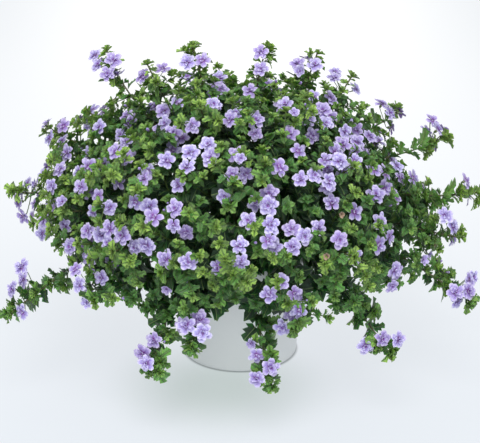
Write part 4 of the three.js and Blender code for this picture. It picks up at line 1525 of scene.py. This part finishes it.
@functools.cache
def pot_finish():
    """A smooth satin white body with faint speckle and slight unevenness."""
    colours = bpy.context.scene.bacopa_colours
    material, tree, shader = new_finish("bacopa_pot")
    patches, grain = mottle(tree, patch_scale=22.0, grain_scale=1100.0)
    shade = blend_colours(tree, times(tree, patches, 0.5), colours.pot, dimmed(colours.pot, 0.9))
    specks = times(tree, fade(tree, grain, 0.66, 0.74), 0.35)
    set_shader(
        tree, shader,
        Base_Color=blend_colours(tree, specks, shade, dimmed(colours.pot, 0.6)),
        Roughness=times_plus(tree, patches, 0.2, 0.3),
        Coat_Weight=0.1,
        Normal=raised(tree, times_plus(tree, patches, 2.0, grain), strength=0.12, distance=0.0003))
    return material


@functools.cache
def soil_finish():
    """Dark, moist, crumbly soil with paler fibres."""
    colours = bpy.context.scene.bacopa_colours
    material, tree, shader = new_finish("bacopa_soil")
    patches, grain = mottle(tree, patch_scale=120.0, grain_scale=700.0)
    shade = blend_colours(tree, fade(tree, grain, 0.45, 0.75), colours.soil, dimmed(colours.soil, 3))
    set_shader(
        tree, shader,
        Base_Color=blend_colours(tree, times(tree, patches, 0.7), shade, dimmed(colours.soil, 0.4)),
        Roughness=times_plus(tree, patches, 0.3, 0.65),
        Normal=raised(tree, maths(tree, "ADD", patches, grain), strength=1.0, distance=0.002))
    return material


@functools.cache
def floor_finish():
    """A pale matt studio floor whose glow, painted light, brightens into the distance and dims to the sides,
    with a painted contact shadow round the pot's foot and a faint painted reflection of the pot.
    """
    colours = bpy.context.scene.bacopa_colours
    material, tree, shader = new_finish("studio_floor")
    patches, grain = mottle(tree, patch_scale=3.0, grain_scale=300.0)
    place = add_node(tree, "ShaderNodeTexCoord").outputs["Object"]
    aside, depth, _ = add_node(tree, "ShaderNodeSeparateXYZ", Vector=place).outputs
    far = fade(tree, depth, -0.3, 1.3)
    # Painted falloff of the glow towards the sides, far off.
    off_middle = times(tree, fade(tree, maths(tree, "ABSOLUTE", aside), 0.1, 0.5), 0.75)
    from_pot = vector_maths(tree, "LENGTH", place)["Value"]
    # Painted contact shadow: the glow darkens to the shadow tone in a thin ring round the pot's foot.
    painted_contact_shadow = fade_out(tree, from_pot, 0.0565, 0.0605)
    # A faint painted reflection of the pot on the floor in front of it.
    before_pot = vector_maths(tree, "DISTANCE", place, (-0.02, -0.09, 0))["Value"]
    painted_reflection = fade_out(tree, before_pot, 0.01, 0.13)
    clouded = blend_colours(tree, times(tree, patches, 0.15), colours.glow, FLOOR.clouds)
    glow = blend_colours(tree, far, clouded, FLOOR.distance)
    dimmer = blend_colours(tree, times(tree, off_middle, far), glow, FLOOR.sides)
    reflected = blend_colours(tree, painted_reflection, dimmer, FLOOR.painted_reflection)
    set_shader(
        tree, shader,
        Base_Color=blend_colours(tree, times(tree, patches, 0.3), colours.floor, FLOOR.patches),
        Emission_Color=blend_colours(tree, times(tree, painted_contact_shadow, 0.8), reflected, FLOOR.shadow),
        Emission_Strength=1.0,
        Roughness=0.6,
        Normal=raised(tree, grain, strength=0.05, distance=0.0002))
    return material


# Operators: one for each group of like pieces


def leaf_tone(place, from_tip):
    """How young a leaf looks, and its own lot, from its distance to the tip, with painted shade by its depth
    and its height in the crown.
    """
    spot = place[:3, 3]
    shaded = max(depth_inside(spot) - YOUTH.lit_depth, 0) / YOUTH.dark_depth
    shaded += SKIRT.darker * low_share(spot, SKIRT)
    youth = YOUTH.plain + YOUTH.at_tip * max(0, 1 - from_tip / YOUTH.fading) + YOUTH.chance * draw() - shaded
    return held(youth), draw(), 0


def one_of(kinds):
    """One of several shapes, by a draw."""
    return kinds[int(draw() * len(kinds))]


class BACOPA_OT_grow_foliage(bpy.types.Operator):
    """Makes the stems, leaves, stalks and calyces of each spray"""

    bl_idname = "bacopa.grow_foliage"
    bl_label = "Grow foliage"

    def execute(self, context):
        sizes = context.scene.bacopa_sizes
        rng = np.random.default_rng(SEED)
        rib = sizes.blade_thickness / sizes.mature_leaf
        grown = leaf_shapes(rng, 8, LEAF_ROWS, rib, folds=(0.2, 0.7), droops=(0.05, 0.35))
        young = leaf_shapes(rng, 6, YOUNG_ROWS, rib * 1.4, folds=(0.4, 0.9), droops=(-0.15, 0.25))
        plain = leaf_shapes(rng, 4, PLAIN_ROWS, rib, folds=(0.1, 0.5), droops=(0.05, 0.3), rippled=False)
        large = leaf_shape(LEAF_ROWS, rib, LEAF.fold, LEAF.droop, ripple=0.05, phase=1.0, fine=True)
        calyx = calyx_shape(SEPAL_THICKNESS)
        for number, spray in enumerate(planned_plant()):
            bundle = Bundle()
            for shoot in spray.shoots:
                self.add_shoot(bundle, shoot)
            for leaf in spray.leaves:
                kinds = plain if leaf.deep else grown if leaf.from_tip else young
                bundle.add(one_of(kinds), leaf_tone(leaf.place, leaf.from_tip), leaf.place)
            for leaf in spray.large:
                bundle.add(large, leaf_tone(leaf.place, LARGE_LEAF_AGE), scaled(leaf.place, leaf.length))
            for bloom in spray.blooms:
                self.add_stalk(bundle, bloom, calyx)
            piece = bundle.build(f"{node_name(number)}_foliage", [leaf_finish(), stem_finish()])
            seat(piece, "foliage", node_name(number))
        return {"FINISHED"}

    def add_shoot(self, bundle, shoot):
        """The stem of a shoot, slightly swollen at its nodes."""
        drawn = DRAWN_TWIG if shoot.base == TWIG.base else DRAWN_STEM
        ats = np.linspace(shoot.length, 0, drawn.rings)
        points, _, radii, _ = zip(*(along_stem(shoot, at) for at in ats))
        swelling = 1 + NODES.swelling * np.maximum(0, np.cos(2 * math.pi * ats / NODES.spacing))**4
        youth = drawn.youth or 1 - min(1, shoot.length / OLD_STEM)
        stem = tube(points, np.array(radii) * swelling * drawn.thickness, drawn.sides)
        bundle.add(stem, (youth, draw(), 0), finish=STEM_FINISH)

    def add_stalk(self, bundle, bloom, calyx):
        """The thin stalk that carries a bloom, and the calyx round its tube."""
        facing = bloom.place[:3, 2]
        neck = bloom.place[:3, 3] - facing * BLOOM.tube * bloom.size
        bent = (bloom.root + neck) / 2 + STALK.arch * (neck - bloom.root)[2] * UP
        line = bezier(bloom.root, bent, neck - facing * STALK.straight, neck, len(STALK.radii) - 1)
        stalk = tube(line, STALK.radii, STALK.sides)
        bundle.add(stalk, (STALK.youth, draw(), 0), finish=STEM_FINISH)
        bundle.add(calyx, (CALYX_YOUTH, draw(), 0), scaled(bloom.place, bloom.size))


class BACOPA_OT_open_blooms(bpy.types.Operator):
    """Makes the blooms of each spray: full, half-open and spent ones, and buds"""

    bl_idname = "bacopa.open_blooms"
    bl_label = "Open blooms"

    def execute(self, context):
        sizes = context.scene.bacopa_sizes
        rng = np.random.default_rng(SEED + 1)
        petal = sizes.petal_thickness / (BLOOM.radius * MM)
        shapes = {"bud": [bud_shape()]}
        for kind, rows in BLOOM_SHAPES.items():
            shapes[kind] = [bloom_shape(rng, petal, full, closed) for full, closed in rows]
        neck = tube_shape()
        for number, spray in enumerate(planned_plant()):
            bundle = Bundle()
            for bloom in spray.blooms:
                spent = bloom.kind == "spent"
                half = bloom.kind == "bloom" and bloom.size < BLOOM.radius * HALF_OPEN
                place = scaled(bloom.place, bloom.size * (SHRUNKEN if spent else 1))
                tone = (draw(), draw(), float(spent))
                bundle.add(one_of(shapes["half_open" if half else bloom.kind]), tone, place)
                if bloom.kind != "bud":
                    bundle.add(neck, tone, place)
            piece = bundle.build(f"{node_name(number)}_blooms", [petal_finish()])
            seat(piece, "petals", node_name(number))
        return {"FINISHED"}


def wall_slope():
    """How much wider the pot grows with each millimetre of height."""
    return (POT.rim - POT.foot) / POT.height


class BACOPA_OT_turn_pot(bpy.types.Operator):
    """Makes the pot with its rounded foot and lip"""

    bl_idname = "bacopa.turn_pot"
    bl_label = "Turn pot"

    def execute(self, context):
        rounding = context.scene.bacopa_sizes.pot_rounding / MM
        lip = POT.wall / 2
        inside = POT.foot - POT.wall + wall_slope() * POT.floor
        ring = POT.foot - FOOT_RING.width
        profile = [(0, FOOT_RING.hollow), (ring - FOOT_RING.slant, FOOT_RING.hollow), (ring, 0)]
        profile += arc((POT.foot - rounding, rounding), rounding, -90, 0)
        profile += [(POT.foot + wall_slope() * height, height) for height in POT_RINGS]
        profile += arc((POT.rim - lip, POT.height - lip), lip, 0, 180, 9)
        profile += [(inside + FILLET.width, POT.floor + FILLET.height), (inside, POT.floor), (0, POT.floor)]
        bundle = Bundle()
        bundle.add(lathe(profile, POT_SIDES), (0, 0, 0))
        seat(bundle.build("pot_body", [pot_finish()], crease=50), "pot", "pot")
        return {"FINISHED"}


class BACOPA_OT_fill_soil(bpy.types.Operator):
    """Makes the crumbly soil in the pot"""

    bl_idname = "bacopa.fill_soil"
    bl_label = "Fill soil"

    def execute(self, context):
        rng = np.random.default_rng(SEED + 2)
        bundle = Bundle()
        bottom = POT.floor + SOIL_FORM.floor_gap
        within = POT.foot - POT.wall - SOIL_FORM.wall_gap
        foot, edge = (within + wall_slope() * height for height in (bottom, SOIL.edge))

        def surface(radius):
            return SOIL.crown - (SOIL.crown - SOIL.edge) * (radius / edge)**4

        radii = np.linspace(edge, SOIL_FORM.inner, SOIL_FORM.rings)
        profile = [(0, bottom), (foot, bottom), *zip(radii, surface(radii)), (0, SOIL.crown)]
        body = lathe(profile, SOIL_FORM.sides)
        top = body.points[:, 2] > SOIL.edge - 1
        body.points[top, 2] += rng.uniform(*SOIL_FORM.uneven, top.sum())
        bundle.add(body, (0, 0, 0))
        crumb = tube([(0, 0, -0.9), (0, 0, -0.4), (0, 0, 0.4), (0, 0, 0.9)], [0.4, 0.95, 0.95, 0.4], 6)
        for _ in range(CRUMBS.count):
            radius = (edge - CRUMBS.from_wall) * math.sqrt(rng.uniform())
            angle = rng.uniform(0, 2 * math.pi)
            spot = np.array([radius * math.cos(angle), radius * math.sin(angle), surface(radius)])
            turn = unit(rng.normal(size=3))
            place = stand(spot, any_square(turn), turn, rng.uniform(*CRUMBS.size))
            bundle.add(crumb, (0, 0, 0), place)
        seat(bundle.build("soil_fill", [soil_finish()], crease=60), "soil", "potting_soil")
        return {"FINISHED"}


def look(eye, target):
    """The turn that points -Z from the eye to the target, with +X level."""
    way = np.array(target) - np.array(eye)
    return math.atan2(math.hypot(way[0], way[1]), -way[2]), 0, math.atan2(-way[0], way[1])


class BACOPA_OT_set_stage(bpy.types.Operator):
    """Makes the floor, the lights and the camera"""

    bl_idname = "bacopa.set_stage"
    bl_label = "Set stage"

    def execute(self, context):
        stage = context.scene.bacopa_stage
        self.add_floor(FLOOR.half)
        for lamp, power in zip(LAMPS, (stage.key_power, stage.fill_power, stage.low_power)):
            self.add_light(lamp, power, (0, 0, stage.middle))
        self.add_sky(stage.sky)
        context.scene.view_settings.view_transform = "Standard"
        self.add_camera(stage, (0, 0, stage.middle))
        return {"FINISHED"}

    def add_floor(self, half):
        mesh = bpy.data.meshes.new("studio_floor")
        corners = [(-half, -half, 0), (half, -half, 0), (half, half, 0), (-half, half, 0)]
        mesh.from_pydata(corners, [], [(0, 1, 2, 3)])
        mesh.materials.append(floor_finish())
        show("studio_floor", mesh)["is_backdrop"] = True

    def add_light(self, lamp, power, target):
        light = bpy.data.lights.new(lamp.name, "AREA")
        light.energy, light.size, light.color = power, lamp.size, lamp.colour
        shown = show(lamp.name, light)
        shown.location = lamp.place
        shown.visible_camera = False
        shown.rotation_euler = look(lamp.place, target)

    def add_sky(self, strength):
        world = bpy.data.worlds.new("studio_sky")
        world.use_nodes = True
        background = world.node_tree.nodes["Background"]
        background.inputs["Color"].default_value = (*SKY, 1)
        background.inputs["Strength"].default_value = strength
        bpy.context.scene.world = world

    def add_camera(self, stage, target):
        lens = bpy.data.cameras.new("camera")
        lens.sensor_width = FILM
        lens.lens = FILM * stage.camera_distance / stage.view_width
        camera = show("camera", lens)
        back = np.array([0, -math.cos(stage.camera_height), math.sin(stage.camera_height)])
        camera.location = target + back * stage.camera_distance
        camera.rotation_euler = look(camera.location, target)
        bpy.context.scene.camera = camera


STEPS = (
    BACOPA_OT_grow_foliage, BACOPA_OT_open_blooms, BACOPA_OT_turn_pot, BACOPA_OT_fill_soil,
    BACOPA_OT_set_stage)
GROUPS = {"bacopa_sizes": BacopaSizes, "bacopa_colours": BacopaColours, "bacopa_stage": BacopaStage}


class BACOPA_PT_panel(bpy.types.Panel):
    bl_idname = "BACOPA_PT_panel"
    bl_label = "Potted bacopa"
    bl_space_type = "VIEW_3D"
    bl_region_type = "UI"
    bl_category = "Bacopa"

    def draw(self, context):
        layout = self.layout
        for step in STEPS:
            layout.operator(step.bl_idname)
        for group in GROUPS:
            settings = getattr(context.scene, group)
            for name in settings.__annotations__:
                layout.prop(settings, name)


CLASSES = (*GROUPS.values(), *STEPS, BACOPA_PT_panel)


def register():
    for kind in CLASSES:
        bpy.utils.register_class(kind)
    for name, kind in GROUPS.items():
        setattr(bpy.types.Scene, name, bpy.props.PointerProperty(type=kind))


def unregister():
    for name in GROUPS:
        delattr(bpy.types.Scene, name)
    for kind in reversed(CLASSES):
        bpy.utils.unregister_class(kind)


def main():
    register()
    bpy.ops.bacopa.grow_foliage()
    bpy.ops.bacopa.open_blooms()
    bpy.ops.bacopa.turn_pot()
    bpy.ops.bacopa.fill_soil()
    bpy.ops.bacopa.set_stage()
    boxes = {"cad": CAD_BOX, "visual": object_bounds()}
    {name: [list(corner) for corner in box] for name, box in boxes.items()}


if __name__ == "__main__":
    main()
